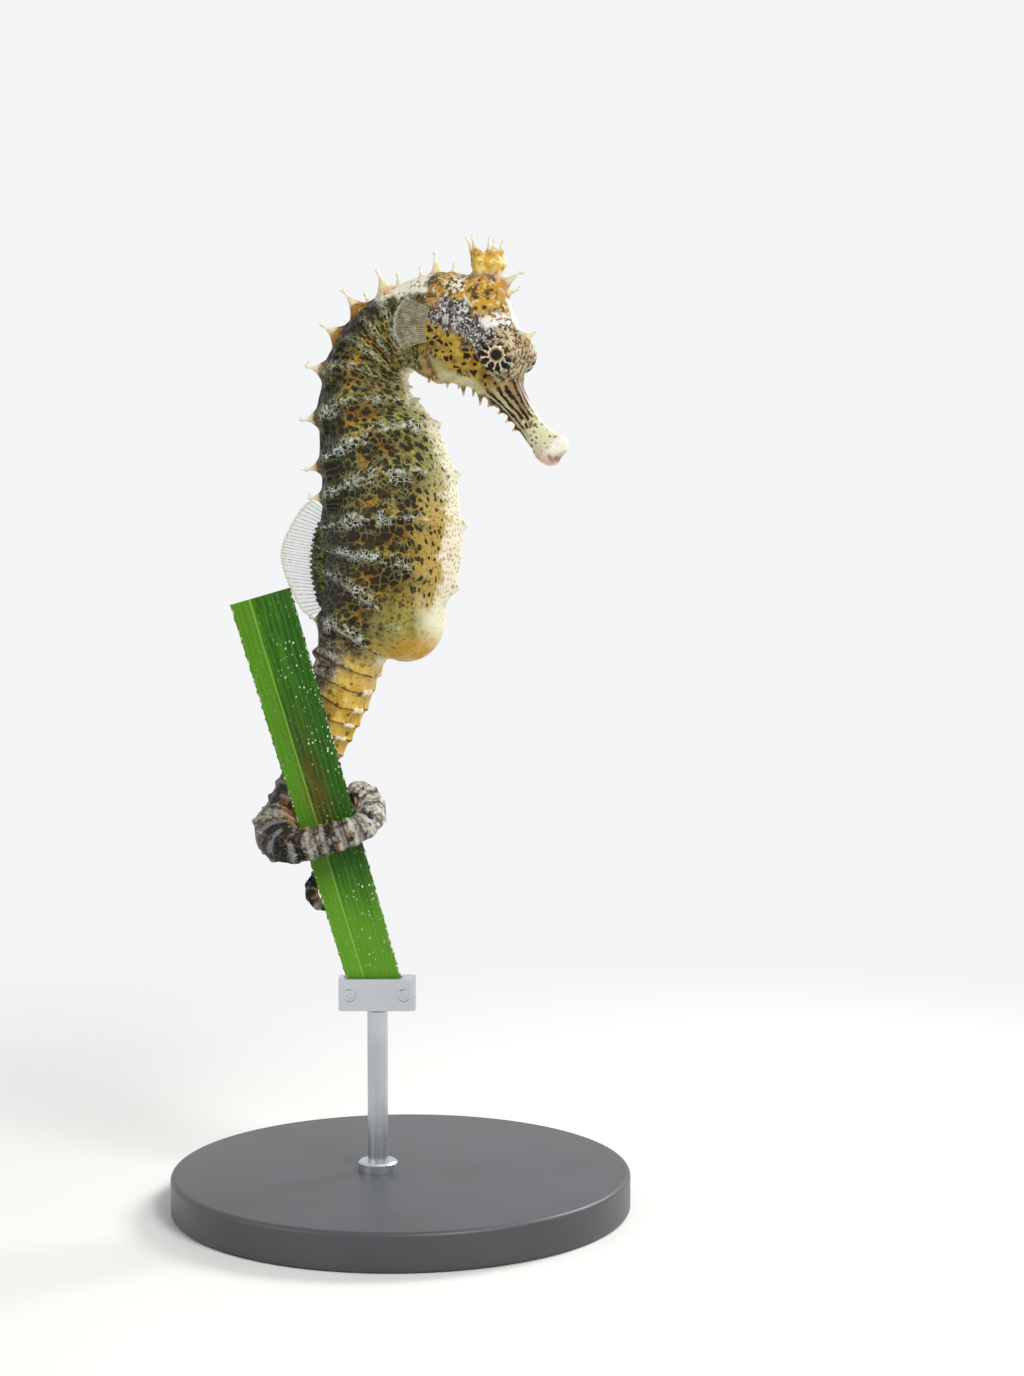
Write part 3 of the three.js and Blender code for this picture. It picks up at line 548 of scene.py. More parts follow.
def sweep(points, hint):
    """Distance to the ringed body without the forms that stand on it."""
    s = project(points, hint)
    psi, unit_radius, radius = section_place(points, s)
    on_trunk, on_tail = body_weights(s)
    turn = np.clip(psi / math.pi * (TURNS - 1), 0, TURNS - 1.001)
    i = turn.astype(np.int32)
    w = turn - i
    trunk = TRUNK_TABLE[i] * (1 - w) + TRUNK_TABLE[i + 1] * w
    tail = TAIL_TABLE[i] * (1 - w) + TAIL_TABLE[i + 1] * w
    tail = lerp(tail, ROUND_TAIL, 0.7 * smooth(COIL_S, COIL_S + 12, s))
    outline = lerp(lerp(1.0, trunk, on_trunk), tail, on_tail)
    scale = radius / np.maximum(unit_radius, 1e-4)
    distance = (unit_radius - outline) * scale - relief(s, psi, radius)
    at, along = AXIS.read(s, "at", "along")
    beyond = np.abs(dot(points - at, along)) * ((s <= 0) | (s >= AXIS.length))
    rounded = distance + ROUND_END
    return np.hypot(np.maximum(rounded, 0), beyond) - ROUND_END + np.minimum(rounded, 0)


def ellipsoid(points, lump, side=1):
    """About the distance to a rounded form."""
    middle, half, tilt = lump
    off = points - mirrored(middle, side).astype(np.float32)
    cos, sin = math.cos(tilt), math.sin(tilt)
    local = np.column_stack([off[:, 0] * cos - off[:, 2] * sin, off[:, 1],
                             off[:, 0] * sin + off[:, 2] * cos])
    half = np.array(half, np.float32)
    near = np.linalg.norm(local / half, axis=1)
    return near * (near - 1) / np.maximum(np.linalg.norm(local / half ** 2, axis=1), 1e-4)


def spine(points, root, tip, root_radius):
    """Distance to a hollow-sided spine with a small knob at its tip, and how far up it is."""
    root, tip = np.array(root, np.float32), np.array(tip, np.float32)
    way = tip - root
    up = np.clip((points - root) @ way / (way @ way), 0, 1)
    radius = lerp(SPINE_NECK, root_radius, (1 - up) ** 2.2)
    distance = np.linalg.norm(points - root - up[:, None] * way, axis=1) - radius
    knob = min(0.15 + 0.065 * root_radius, 0.35)
    return np.minimum(distance, np.linalg.norm(points - tip, axis=1) - knob), up


def ridge_point(s, psi, side):
    """A point on the skin at a length and an angle from the belly, and the way out of it."""
    s = np.atleast_1d(float(s))
    at, belly, right, deep, wide = (v[0] for v in
                                    AXIS.read(s, "at", "belly", "right", "deep", "wide"))
    on_trunk, on_tail = (float(w) for w in body_weights(float(s[0])))
    i = int(round(psi / math.pi * (TURNS - 1)))
    radius = lerp(lerp(1.0, TRUNK_TABLE[i], on_trunk), TAIL_TABLE[i], on_tail)
    off = belly * deep * radius * math.cos(psi) + side * right * wide * radius * math.sin(psi)
    return at + off, off / np.linalg.norm(off)


def back_thorns():
    """Root, tip and radius of each thorn of the back ridge, one to a ring on each side."""
    found = []
    psi = corner_angle(TRUNK_CORNERS[3])
    lift = np.array([0, 0, 0.22])
    for ring, reach in enumerate(THORNS):
        if reach:
            for side in (-1, 1):
                place, out = ridge_point(RINGS[ring], psi, side)
                tip = place + out * (reach + 0.2) + lift * reach
                found.append((place - 1.2 * out, tip, 3.1))
    return found


def jaw_spines():
    """A row of small pale spines along each side of the jaw's lower edge."""
    found = []
    for length in JAW_SPINES:
        for side in (-1, 1):
            place, out = ridge_point(length, 0.5, side)
            found.append((place - 0.5 * out, place + 0.75 * out, 0.75))
    return found


def coronet_tips():
    """Root, tip and radius of each point of the crown, shorter and stouter at the front."""
    found = []
    for tip in range(CORONET["tips"]):
        turn = math.pi + tip * 2 * math.pi / CORONET["tips"]
        out = np.array([math.cos(turn), math.sin(turn)])
        forward = max(out[0], 0)
        reach, height = 3.3 - 1.0 * forward, 2.1 - 1.0 * forward
        root = (CORONET["x"] + 1.5 * out[0], 1.5 * out[1], CORONET["rim"] - 1.6)
        point = (CORONET["x"] + reach * out[0], reach * out[1], CORONET["rim"] + height)
        found.append((root, point, 1.15 + 0.6 * forward))
    return found


def coronet(points):
    """The crown's trumpet: a waisted stem with a cupped, five-cornered rim."""
    dx, dy = points[:, 0] - CORONET["x"], points[:, 1]
    high = points[:, 2] - CORONET["base"]
    rim = CORONET["rim"] - CORONET["base"]
    turn = np.arctan2(dy, dx)
    up = np.clip(high / rim, -0.4, 1.1)
    rise = np.maximum(up, 0)
    radius = 3.1 - 3.3 * rise + 2.45 * rise ** 2
    radius *= 1 + 0.13 * smooth(0.2, 1.0, up) * np.cos(CORONET["tips"] * (turn - math.pi))
    around = np.hypot(dx, dy)
    wall = (around - radius) * 0.9
    cup = high - (rim - 0.9 + 0.16 * around ** 2)
    foot = -high - 1.5
    return np.maximum(np.maximum(wall, cup), foot)


THORN_CONES = back_thorns()
HEAD_CONES = MIDDLE_SPINES + [(mirrored(root, side), mirrored(tip, side), thick)
                              for side in (-1, 1) for root, tip, thick in PAIRED_SPINES]
ALL_CONES = THORN_CONES + HEAD_CONES + jaw_spines() + coronet_tips()


def near_box(points, low, high, margin=2.5):
    """Which points lie in a box or within a margin of it."""
    low, high = np.asarray(low) - margin, np.asarray(high) + margin
    return np.flatnonzero(((points > low) & (points < high)).all(1))


def blend_in(points, field, low, high, shape, reach):
    """Joins one form to the field with a fillet, only where the form is near."""
    chosen = near_box(points, low, high)
    if len(chosen):
        field[chosen] = soft_min(field[chosen], shape(points[chosen]), reach)


def lump_box(lump, side=1):
    """Two corners of a box that holds a rounded form."""
    middle, reach = mirrored(lump[0], side), max(lump[1])
    return middle - reach, middle + reach


def fin_base(points):
    """The ridge under the back fin, with a row of small muscles along its edge."""
    top, bottom = BACK_FIN["top"][1], BACK_FIN["bottom"][1]
    along = (points[:, 2] - bottom) / (top - bottom)
    waves = np.abs(np.sin(along * math.pi * BACK_FIN["rays"] / 2))
    row = ellipsoid(points, FIN_BASE) - 0.5 * waves * smooth(-12.2, -14.4, points[:, 0])
    return soft_min(row, ellipsoid(points, FIN_END), 0.6)


def field_at(points, hints):
    """Distance to the whole skin, negative inside."""
    points = points.astype(np.float32)
    field = sweep(points, hints[0])
    both = np.flatnonzero(hints[1] >= 0)
    if len(both):
        field[both] = np.minimum(field[both], sweep(points[both], hints[1][both]))
    for lump, reach in ((FOREHEAD, 1.6), (NOSE_KNOB, 1.0), (POUCH, 1.6),
                        (LOWER_LIP, 0.5), (UPPER_LIP, 0.5)):
        blend_in(points, field, *lump_box(lump), lambda p: ellipsoid(p, lump), reach)
    blend_in(points, field, *lump_box(FIN_BASE), fin_base, 1.2)
    for side in (-1, 1):
        for lump, reach in ((ORBIT, 0.9), (GILL_COVER, 0.5)):
            box = lump_box(lump, side)
            blend_in(points, field, *box, lambda p: ellipsoid(p, lump, side), reach)
    crown = (CORONET["x"], 0, CORONET["rim"])
    blend_in(points, field, np.array(crown) - 5, np.array(crown) + 3, coronet, 1.1)
    for cone in ALL_CONES:
        low, high = np.minimum(*cone[:2]), np.maximum(*cone[:2])
        blend_in(points, field, low, high, lambda p: spine(p, *cone)[0], 0.6)
    for path, thick in RIDGE_PATHS:
        blend_in(points, field, path.min(0), path.max(0), lambda p: rope(p, path, thick), 0.5)
    return carve(points, field)


def rope(points, path, thick):
    """Distance to a line through a few points, thinnest at its two ends."""
    found = np.full(len(points), OUTSIDE, np.float32)
    for i, (a, b) in enumerate(zip(path[:-1], path[1:])):
        way = (b - a).astype(np.float32)
        up = np.clip((points - a) @ way / (way @ way), 0, 1)
        run = (i + up) / (len(path) - 1)
        away = np.linalg.norm(points - a - up[:, None] * way, axis=1)
        found = np.minimum(found, away - thick * (0.45 + 2.2 * run * (1 - run)))
    return found.astype(np.float32)


def ridge_paths():
    """The head's raised lines, laid on its surface at each side."""
    found = []
    reach = np.linspace(9, 0, 91)[:, None]
    for line, thick in HEAD_RIDGES:
        for side in (-1, 1):
            path = []
            for x, z in line:
                ray = np.array([x, 0.0, z]) + reach * np.array([0, side, 0])
                inside = field_at(ray, axis_hints(ray)) < 0
                path.append(ray[inside.argmax() if inside.any() else -1])
            found.append((np.array(path), thick))
    return found


def gaze_axis(side):
    """The way that an eye looks."""
    return mirrored(unit(EYE["gaze"]), side)


def carve(points, field):
    """Raises a lid round each eye, then opens the sockets and the mouth."""
    for side in (-1, 1):
        centre = mirrored(EYE["at"], side)
        chosen = near_box(points, centre - 3, centre + 3)
        off = points[chosen] - centre.astype(np.float32)
        gaze = gaze_axis(side).astype(np.float32)
        ahead = off @ gaze
        aside = np.linalg.norm(off - ahead[:, None] * gaze, axis=1)
        lid = np.hypot(aside - LID["aside"], ahead - LID["ahead"]) - LID["thick"]
        socket = np.linalg.norm(off, axis=1) - EYE["radius"] - 0.02
        raised = soft_min(field[chosen], lid, LID["fillet"])
        field[chosen] = np.maximum(raised, -socket)
    mouth = near_box(points, *MOUTH_BOX, 0.5)
    field[mouth] = -soft_min(-field[mouth], ellipsoid(points[mouth], MOUTH), 0.3)
    return field


# The raised lines are laid on the surface as it is without them.
RIDGE_PATHS = []
RIDGE_PATHS = ridge_paths()


# ---------------------------------------------------------------- from field to mesh
def grid_corners(*counts):
    """Every whole-number place in a box of that many cells each way."""
    return np.stack(np.meshgrid(*map(np.arange, counts), indexing="ij"), -1).reshape(-1, 3)


def sample_field():
    """The field on a fine grid, worked out only near the skin."""
    cell = VOXEL * COARSE
    bulk = np.maximum(AXIS.deep, AXIS.wide)[:, None] + 1.5
    low = (AXIS.at - bulk).min(0)
    high = (AXIS.at + bulk).max(0)
    high[2] = CORONET["rim"] + 3.5
    blocks = np.ceil((high - low) / cell).astype(int)
    corner = grid_corners(*blocks)
    middles = low + (corner + 0.5) * cell
    first, second = axis_hints(middles)
    coarse = field_at(middles, (first, second))
    values = np.where(coarse < 0, -OUTSIDE, OUTSIDE).astype(np.float32).reshape(blocks)
    values = values.repeat(COARSE, 0).repeat(COARSE, 1).repeat(COARSE, 2)
    inner = grid_corners(*[COARSE] * 3)
    chosen = np.flatnonzero(np.abs(coarse) < cell * 1.25)
    for start in range(0, len(chosen), BATCH):
        part = chosen[start:start + BATCH]
        index = (corner[part][:, None] * COARSE + inner[None]).reshape(-1, 3)
        points = low + (index + 0.5) * VOXEL
        hints = [np.repeat(h[part], len(inner)) for h in (first, second)]
        values[tuple(index.T)] = field_at(points, hints)
    return values, low + 0.5 * VOXEL


def surface_net(values):
    """A quad mesh through the zero of a grid of values."""
    inside = values < 0
    count = np.zeros([n - 1 for n in inside.shape], np.uint8)
    shifts = grid_corners(2, 2, 2)
    for dx, dy, dz in shifts:
        count += inside[dx:dx + count.shape[0], dy:dy + count.shape[1], dz:dz + count.shape[2]]
    cells = np.argwhere((count > 0) & (count < 8))
    number = np.full(count.shape, -1, np.int32)
    number[tuple(cells.T)] = np.arange(len(cells))
    total = np.zeros((len(cells), 3))
    crossings = np.zeros(len(cells))
    for axis in range(3):
        for start in shifts[shifts[:, axis] == 0]:
            end = start.copy()
            end[axis] = 1
            a = values[tuple((cells + start).T)]
            b = values[tuple((cells + end).T)]
            crossed = (a < 0) != (b < 0)
            part = np.where(crossed, a / np.where(crossed, a - b, 1), 0)
            total += crossed[:, None] * (start + (end - start) * part[:, None])
            crossings += crossed
    points = cells + total / crossings[:, None]
    quads = []
    for axis in range(3):
        u, v = (axis + 1) % 3, (axis + 2) % 3
        near = [slice(1, -1)] * 3
        near[axis] = slice(0, -1)
        far = [slice(1, -1)] * 3
        far[axis] = slice(1, None)
        a, b = inside[tuple(near)], inside[tuple(far)]
        for leaving, first in ((True, a & ~b), (False, ~a & b)):
            spots = np.argwhere(first)
            spots[:, u] += 1
            spots[:, v] += 1
            corners = []
            for du, dv in ((0, 0), (1, 0), (1, 1), (0, 1)):
                spot = spots.copy()
                spot[:, u] -= du
                spot[:, v] -= dv
                corners.append(number[tuple(spot.T)])
            quad = np.stack(corners, 1)
            quads.append(quad if leaving else quad[:, ::-1])
    return points, np.concatenate(quads)


def settle(points):
    """Moves points straight on to the zero of the field."""
    tiny, farthest = 0.04, 0.12
    hints = axis_hints(points)
    value = field_at(points, hints)
    slope = np.stack([field_at(points + tiny * axis, hints) - value
                      for axis in np.eye(3)], 1) / tiny
    square = np.maximum((slope ** 2).sum(1), 0.4)
    move = np.clip(value / square, -farthest, farthest)
    return points - slope * move[:, None]


def make_skin():
    """The whole skin as one closed mesh."""
    values, low = sample_field()
    points, quads = surface_net(values)
    skin = mesh_object("skin", settle(low + points * VOXEL), quads.tolist())
    keep_main_body(skin)
    triangles = 2 * len(skin.data.polygons)
    if triangles > SKIN_TRIANGLES:
        thin = skin.modifiers.new("thin", "DECIMATE")
        thin.ratio = SKIN_TRIANGLES / triangles
        apply_modifiers(skin)
    return skin


def keep_main_body(piece):
    """Deletes any crumb of mesh that isn't joined to the largest one."""
    count = len(piece.data.vertices)
    edges = np.empty(len(piece.data.edges) * 2, np.int32)
    piece.data.edges.foreach_get("vertices", edges)
    a, b = edges.reshape(-1, 2).T
    label = np.arange(count)
    while True:
        low = np.minimum(label[a], label[b])
        fresh = label.copy()
        np.minimum.at(fresh, a, low)
        np.minimum.at(fresh, b, low)
        fresh = fresh[fresh]
        if (fresh == label).all():
            break
        label = fresh
    names, sizes = np.unique(label, return_counts=True)
    if len(names) > 1:
        loose = label != names[sizes.argmax()]
        work = bmesh.new()
        work.from_mesh(piece.data)
        work.verts.ensure_lookup_table()
        gone = [work.verts[i] for i in np.flatnonzero(loose)]
        bmesh.ops.delete(work, geom=gone, context="VERTS")
        work.to_mesh(piece.data)
        work.free()


# ---------------------------------------------------------------- places on the skin
def skin_places(skin):
    """Writes where each point lies on the body, for the skin's material to read."""
    mesh = skin.data
    points = np.empty(len(mesh.vertices) * 3, np.float32)
    mesh.vertices.foreach_get("co", points)
    points = points.reshape(-1, 3) / MM
    first, second = axis_hints(points)
    away = sweep(points, first)
    s = project(points, first)
    both = np.flatnonzero(second >= 0)
    other = sweep(points[both], second[both])
    swap = both[np.abs(other) < np.abs(away[both])]
    s[swap] = project(points[swap], second[swap])
    psi, _, radius = section_place(points, s)
    at, right, deep, wide = AXIS.read(s, "at", "right", "deep", "wide")
    around = psi * (deep + wide) / 2 * np.where(dot(points - at, right) < 0, -1, 1)
    tip = np.zeros(len(points))
    for cone in ALL_CONES:
        distance, up = spine(points, *cone)
        tip = np.maximum(tip, up * smooth(0.6, 0.1, distance))
    ridge = np.full(len(points), OUTSIDE)
    for path, thick in RIDGE_PATHS:
        ridge = np.minimum(ridge, rope(points, path, thick))
    x, _, z = points.T
    write = {
        "along": s, "side": psi / math.pi, "around": around, "ring": ring_number(s, psi),
        "raised": relief(s, psi, radius), "tip": tip, "ridge": ridge,
        "crown": smooth(143.6, 145.0, z) * (np.abs(x - CORONET["x"]) < 4.2),
        "pouch": ellipsoid(points, POUCH), "finbase": ellipsoid(points, FIN_BASE),
        "gill": np.minimum(ellipsoid(points, GILL_COVER), ellipsoid(points, GILL_COVER, -1)),
    }
    for name, values in write.items():
        write_values(mesh, name, values)


# ---------------------------------------------------------------- material graphs
def node_method(operation, swapped=False):
    """A method of Wire that adds one Math node; swapped puts the other value first."""
    def method(wire, *others):
        values = (*others, wire) if swapped else (wire, *others)
        return wire.graph.math(operation, *values)
    return method


class Wire:
    """One output of a node, so that a graph can be written as plain sums."""

    def __init__(self, graph, socket):
        self.graph = graph
        self.socket = socket

    __add__ = node_method("ADD")
    __radd__ = node_method("ADD", swapped=True)
    __sub__ = node_method("SUBTRACT")
    __rsub__ = node_method("SUBTRACT", swapped=True)
    __mul__ = node_method("MULTIPLY")
    __truediv__ = node_method("DIVIDE")
    __abs__ = node_method("ABSOLUTE")
    sine = node_method("SINE")
    cosine = node_method("COSINE")
    sqrt = node_method("SQRT")
    round = node_method("ROUND")
    floor = node_method("FLOOR")

    def band(self, low, high, start=0.0, end=1.0):
        """A smooth step from start to end as this goes from low to high."""
        if not isinstance(low, Wire) and not isinstance(high, Wire) and low > high:
            low, high, start, end = high, low, end, start
        inputs = {"Value": self, "From Min": low, "From Max": high, "To Min": start, "To Max": end}
        return self.graph.node("MapRange", inputs, interpolation_type="SMOOTHSTEP")

    def window(self, low, high, soft):
        """One between low and high and zero beyond them, with soft edges."""
        return self.band(low - soft, low + soft) * self.band(high + soft, high - soft)


class Graph:
    """The nodes of a material or a world, made by short calls that hand wires on."""

    def __init__(self, owner, shader="BsdfPrincipled", output="OutputMaterial"):
        owner.use_nodes = True
        self.owner = owner
        self.tree = owner.node_tree
        self.tree.nodes.clear()
        self.shader = self.tree.nodes.new("ShaderNode" + shader)
        self.output = self.tree.nodes.new("ShaderNode" + output)
        self.tree.links.new(self.shader.outputs[0], self.output.inputs[0])

    def feed(self, socket, value):
        """Links a wire, or sets a number, a vector or a colour, which may be 0xRRGGBB."""
        if isinstance(value, Wire):
            self.tree.links.new(value.socket, socket)
        elif socket.type == "RGBA":
            colour = linear(value) if isinstance(value, int) else value
            socket.default_value = (*colour, 1)
        else:
            socket.default_value = value

    def node(self, kind, inputs, *outputs, **settings):
        """Adds a node and gives its first output, or those asked for."""
        made = self.tree.nodes.new("ShaderNode" + kind)
        for key, value in settings.items():
            setattr(made, key, value)
        for key, value in inputs.items():
            self.feed(made.inputs[key], value)
        wires = [Wire(self, made.outputs[key]) for key in outputs or (0,)]
        return wires if len(wires) > 1 else wires[0]

    def set(self, **inputs):
        """Inputs of the surface shader, with _ for each space in a name."""
        for key, value in inputs.items():
            self.feed(self.shader.inputs[key.replace("_", " ")], value)

    def cover(self, kind, colour, share):
        """Shows a flat colour in place of the shader, by that share."""
        flat = self.node(kind, {"Color": colour, "Strength": 1.0})
        below = Wire(self, self.shader.outputs[0])
        both = self.node("MixShader", {0: share, 1: below, 2: flat})
        self.feed(self.output.inputs[0], both)

    def math(self, operation, *values):
        return self.node("Math", dict(enumerate(values)), operation=operation)

    def vector(self, operation, a, b=None, scale=None):
        inputs = {0: a, 1: b, "Scale": scale}
        inputs = {key: value for key, value in inputs.items() if value is not None}
        is_number = operation in ("DOT_PRODUCT", "LENGTH", "DISTANCE")
        output = "Value" if is_number else "Vector"
        return self.node("VectorMath", inputs, output, operation=operation)

    def most(self, *values):
        total = values[0]
        for value in values[1:]:
            total = self.math("MAXIMUM", total, value)
        return total

    def mix(self, factor, a, b):
        return self.node("Mix", {0: factor, 6: a, 7: b}, 2, data_type="RGBA")

    def attribute(self, name):
        return self.node("Attribute", {}, "Fac", attribute_name=name)

    def split(self, vector):
        return self.node("SeparateXYZ", {0: vector}, 0, 1, 2)

    def join(self, x, y, z):
        return self.node("CombineXYZ", {0: x, 1: y, 2: z})

    def place(self):
        """Object coordinates in millimetres."""
        return self.vector("SCALE", self.node("TexCoord", {}, "Object"), scale=1 / MM)

    def noise(self, where, scale, detail=3.0):
        inputs = {"Vector": where, "Scale": scale, "Detail": detail, "Roughness": 0.55}
        return self.node("TexNoise", inputs, "Fac")

    def warp(self, where, scale, reach):
        """Coordinates pushed about by noise, so that patterns on them look grown."""
        push = self.node("TexNoise", {"Vector": where, "Scale": scale, "Detail": 2.0}, "Color")
        push = self.vector("SUBTRACT", push, (0.5, 0.5, 0.5))
        return self.vector("ADD", where, self.vector("SCALE", push, scale=reach))

    def cells(self, where, scale, *outputs, feature="F1", random=1.0, flat=False):
        """Irregular cells in space or, where flat, on the first two coordinates."""
        inputs = {"Vector": where, "Scale": scale, "Randomness": random}
        return self.node("TexVoronoi", inputs, *outputs, feature=feature,
                         voronoi_dimensions="2D" if flat else "3D")

    def spots(self, where, scale, size, jitter=0.3, random=0.85, soft=0.25, flat=False):
        """A mask of round spots of about that radius, in the units of where."""
        distance, colour = self.cells(where, scale, "Distance", "Color", random=random, flat=flat)
        vary = self.split(colour)[0]
        radius = (1 - jitter + vary * (2 * jitter)) * size * scale
        return (distance / radius).band(1 + soft, 1 - soft)

    def net(self, where, scale, width, flat=False):
        """A mask of thin lines between irregular cells."""
        edge = self.cells(where, scale, feature="DISTANCE_TO_EDGE", flat=flat)
        return edge.band(width, width * 0.3)

    def bump(self, height, distance, strength=1.0, below=None):
        inputs = {"Height": height, "Distance": distance, "Strength": strength}
        if below is not None:
            inputs["Normal"] = below
        return self.node("Bump", inputs)

    def seen_rays(self):
        """1 for rays of the camera, and for those that metal or glass passes on to it."""
        kinds = ("Is Camera Ray", "Is Glossy Ray", "Is Transmission Ray")
        return self.most(*self.node("LightPath", {}, *kinds))


CREAM = 0xA39D58
PALE = 0xEFEAD6
BRONZE = 0x75602A
KHAKI = 0x767034
OLIVE = 0x3E3D18
GOLD = 0xA88426
ORANGE = 0x906420
UMBER = 0x2E2210
INK = 0x100D09
FROST = 0xC0C8BE
PLUM = 0x3A322E


# ---------------------------------------------------------------- skin
# In the functions for colours, g is the graph and m holds what skin_marks gives.
def skin_marks(g):
    """What the colours of every zone read: places on the body, and noises of four sizes."""
    place = g.place()
    x, _, z = g.split(place)
    names = ("along", "side", "around", "ring", "raised", "tip", "crown", "finbase")
    s, side, around, ring, raised, tip, crown, finbase = map(g.attribute, names)
    mid = g.noise(place, 0.5)
    wavy = ring + (mid - 0.5) * 0.24
    return SimpleNamespace(
        place=place, x=x, z=z, s=s, side=side, ring=ring, raised=raised, tip=tip, crown=crown,
        finbase=finbase, mid=mid, big=g.noise(place, 0.16, 2.0), fine=g.noise(place, 1.5),
        grain=g.noise(place, 5.0),
        # Distance from the nearest ring's crest, in rings, and place from one crest to the next.
        from_ring=abs(wavy - wavy.round()), after_ring=wavy - wavy.floor(),
        flat=g.warp(g.join(around, ring * 6.0, 0.0), 0.7, 0.55))


def skin_material():
    """The whole skin, one zone's colours laid over another's."""
    g = Graph(bpy.data.materials.new("seahorse_skin"))
    m = skin_marks(g)
    wander = m.mid - 0.5
    on_tail = (m.s + wander * 6.0).band(TAIL_S - 4, TAIL_S + 1)
    on_coil = (m.s + wander * 8.0).band(COIL_S + 2, COIL_S + 9)
    on_head = (m.s + wander * 3.0).band(NECK_S - 4, NECK_S - 6)
    colour, veins = trunk_colour(g, m)
    colour = g.mix(pouch_share(g, m), colour, pouch_colour(g, m))
    colour = g.mix(on_tail, colour, tail_colour(g, m))
    colour = g.mix(on_coil, colour, coil_colour(g, m))
    colour = g.mix(on_head, colour, head_colour(g, m))
    colour = saddle(g, colour, m)
    colour = g.mix(m.crown, colour, crown_colour(g, m))
    colour = fin_base_colour(g, colour, m)
    colour = spine_colour(g, colour, m, on_head)
    knob = (m.raised + (m.fine - 0.5) * 0.5).band(0.66, 0.95) * (1 - on_coil) * (1 - on_head)
    colour = g.mix(knob * m.side.band(0.3, 0.2, 0.45, 0.9), colour, 0xE4DFCA)
    colour = eye_surround(g, colour, m, on_head)
    g.set(Base_Color=colour, Roughness=m.grain.band(0.3, 0.7, 0.36, 0.56))
    g.set(Specular_IOR_Level=0.14, Normal=skin_bumps(g, m, veins))
    g.set(Subsurface_Weight=0.05, Subsurface_Scale=0.0008, Subsurface_Radius=(1.0, 0.5, 0.25))
    return g.owner


def skin_bumps(g, m, veins):
    """Pebbled skin, raised pale veins and fine pores."""
    pebbles = g.cells(m.place, 1.9, feature="SMOOTH_F1")
    pores = g.cells(m.place, 5.0)
    rough = m.s.band(5.0, 16.0, 0.15, 0.8)
    normal = g.bump(pebbles * -0.7 + m.fine * 0.7, 0.24 * MM, rough)
    normal = g.bump(veins, 0.1 * MM, 0.7, normal)
    return g.bump(pores + m.grain * 0.6, 0.06 * MM, 0.8, normal)


def fin_base_colour(g, colour, m):
    """Olive muscles along the foot of the back fin, gold at its lower end."""
    base = (m.finbase + (m.mid - 0.5) * 0.6).band(0.5, 0.0)
    lobes = g.mix(m.fine.band(0.42, 0.56), 0x77753A, 0x1E2010)
    lobes = g.mix(m.z.band(96.6, 95.4) * m.fine.band(0.6, 0.5), lobes, 0xC9A63C)
    return g.mix(base, colour, lobes)


def spine_colour(g, colour, m, on_head):
    """Spines are orange at the root and white towards the tip."""
    jaw_side = m.side.band(0.55, 0.45) * on_head
    on_spine = m.tip * jaw_side.band(0.0, 1.0, 1.0, 0.6) + (m.fine - 0.5) * 0.3
    brow = m.x.window(15.0, 18.4, 0.3) * m.z.window(134.0, 138.5, 0.3)
    rust = on_spine.band(0.14, 0.32) * (1 - brow) * m.mid.band(0.36, 0.5, 0.3, 0.8)
    amber = g.mix(m.z.band(128.0, 136.0), 0x5E3812, 0xB07C2C)
    colour = g.mix(rust, colour, amber)
    colour = g.mix(on_spine.band(0.4, 0.58), colour, 0xE0D0A8)
    return g.mix(on_spine.band(0.7, 0.85), colour, PALE)


def eye_surround(g, colour, m, on_head):
    """The eye's petals run on over the lid, ahead of it and below."""
    rays, away, ahead = eye_rays(g, m.place)
    lower = (m.x - EYE["at"][0]) * -0.55 + (m.z - EYE["at"][2]) * -0.84 + (m.mid - 0.5) * 1.6
    around_eye = away.band(3.3, 2.8) * ahead.band(0.2, 0.9) * on_head
    return g.mix(around_eye * lower.band(-1.6, -0.3), colour, rays)


def trunk_colour(g, m):
    """Khaki and gold flanks, cream belly, a blackish back that is partly painted shade; with the
    height of the pale veins.
    """
    edge = m.side + (m.mid - 0.5) * 0.34
    low = m.z.band(117.0, 106.0)
    blotch = g.noise(m.place, 0.34, 2.0).band(0.42, 0.54) * edge.window(0.32, 0.85, 0.08)
    zone = SimpleNamespace(
        edge=edge, low=low,
        belly=(edge + m.z.band(109.0, 119.0, 0.0, 0.14)).band(0.36, 0.2),
        keel=(edge + low * -0.05).band(0.12, 0.03),
        back=edge.band(0.62, 0.84),
        blotch=blotch * m.z.band(123.0, 115.0, 0.15, 0.8))
    colour = dark_cells(g, trunk_ground(g, m, zone), m, zone)
    return pale_net(g, colour, m, zone)


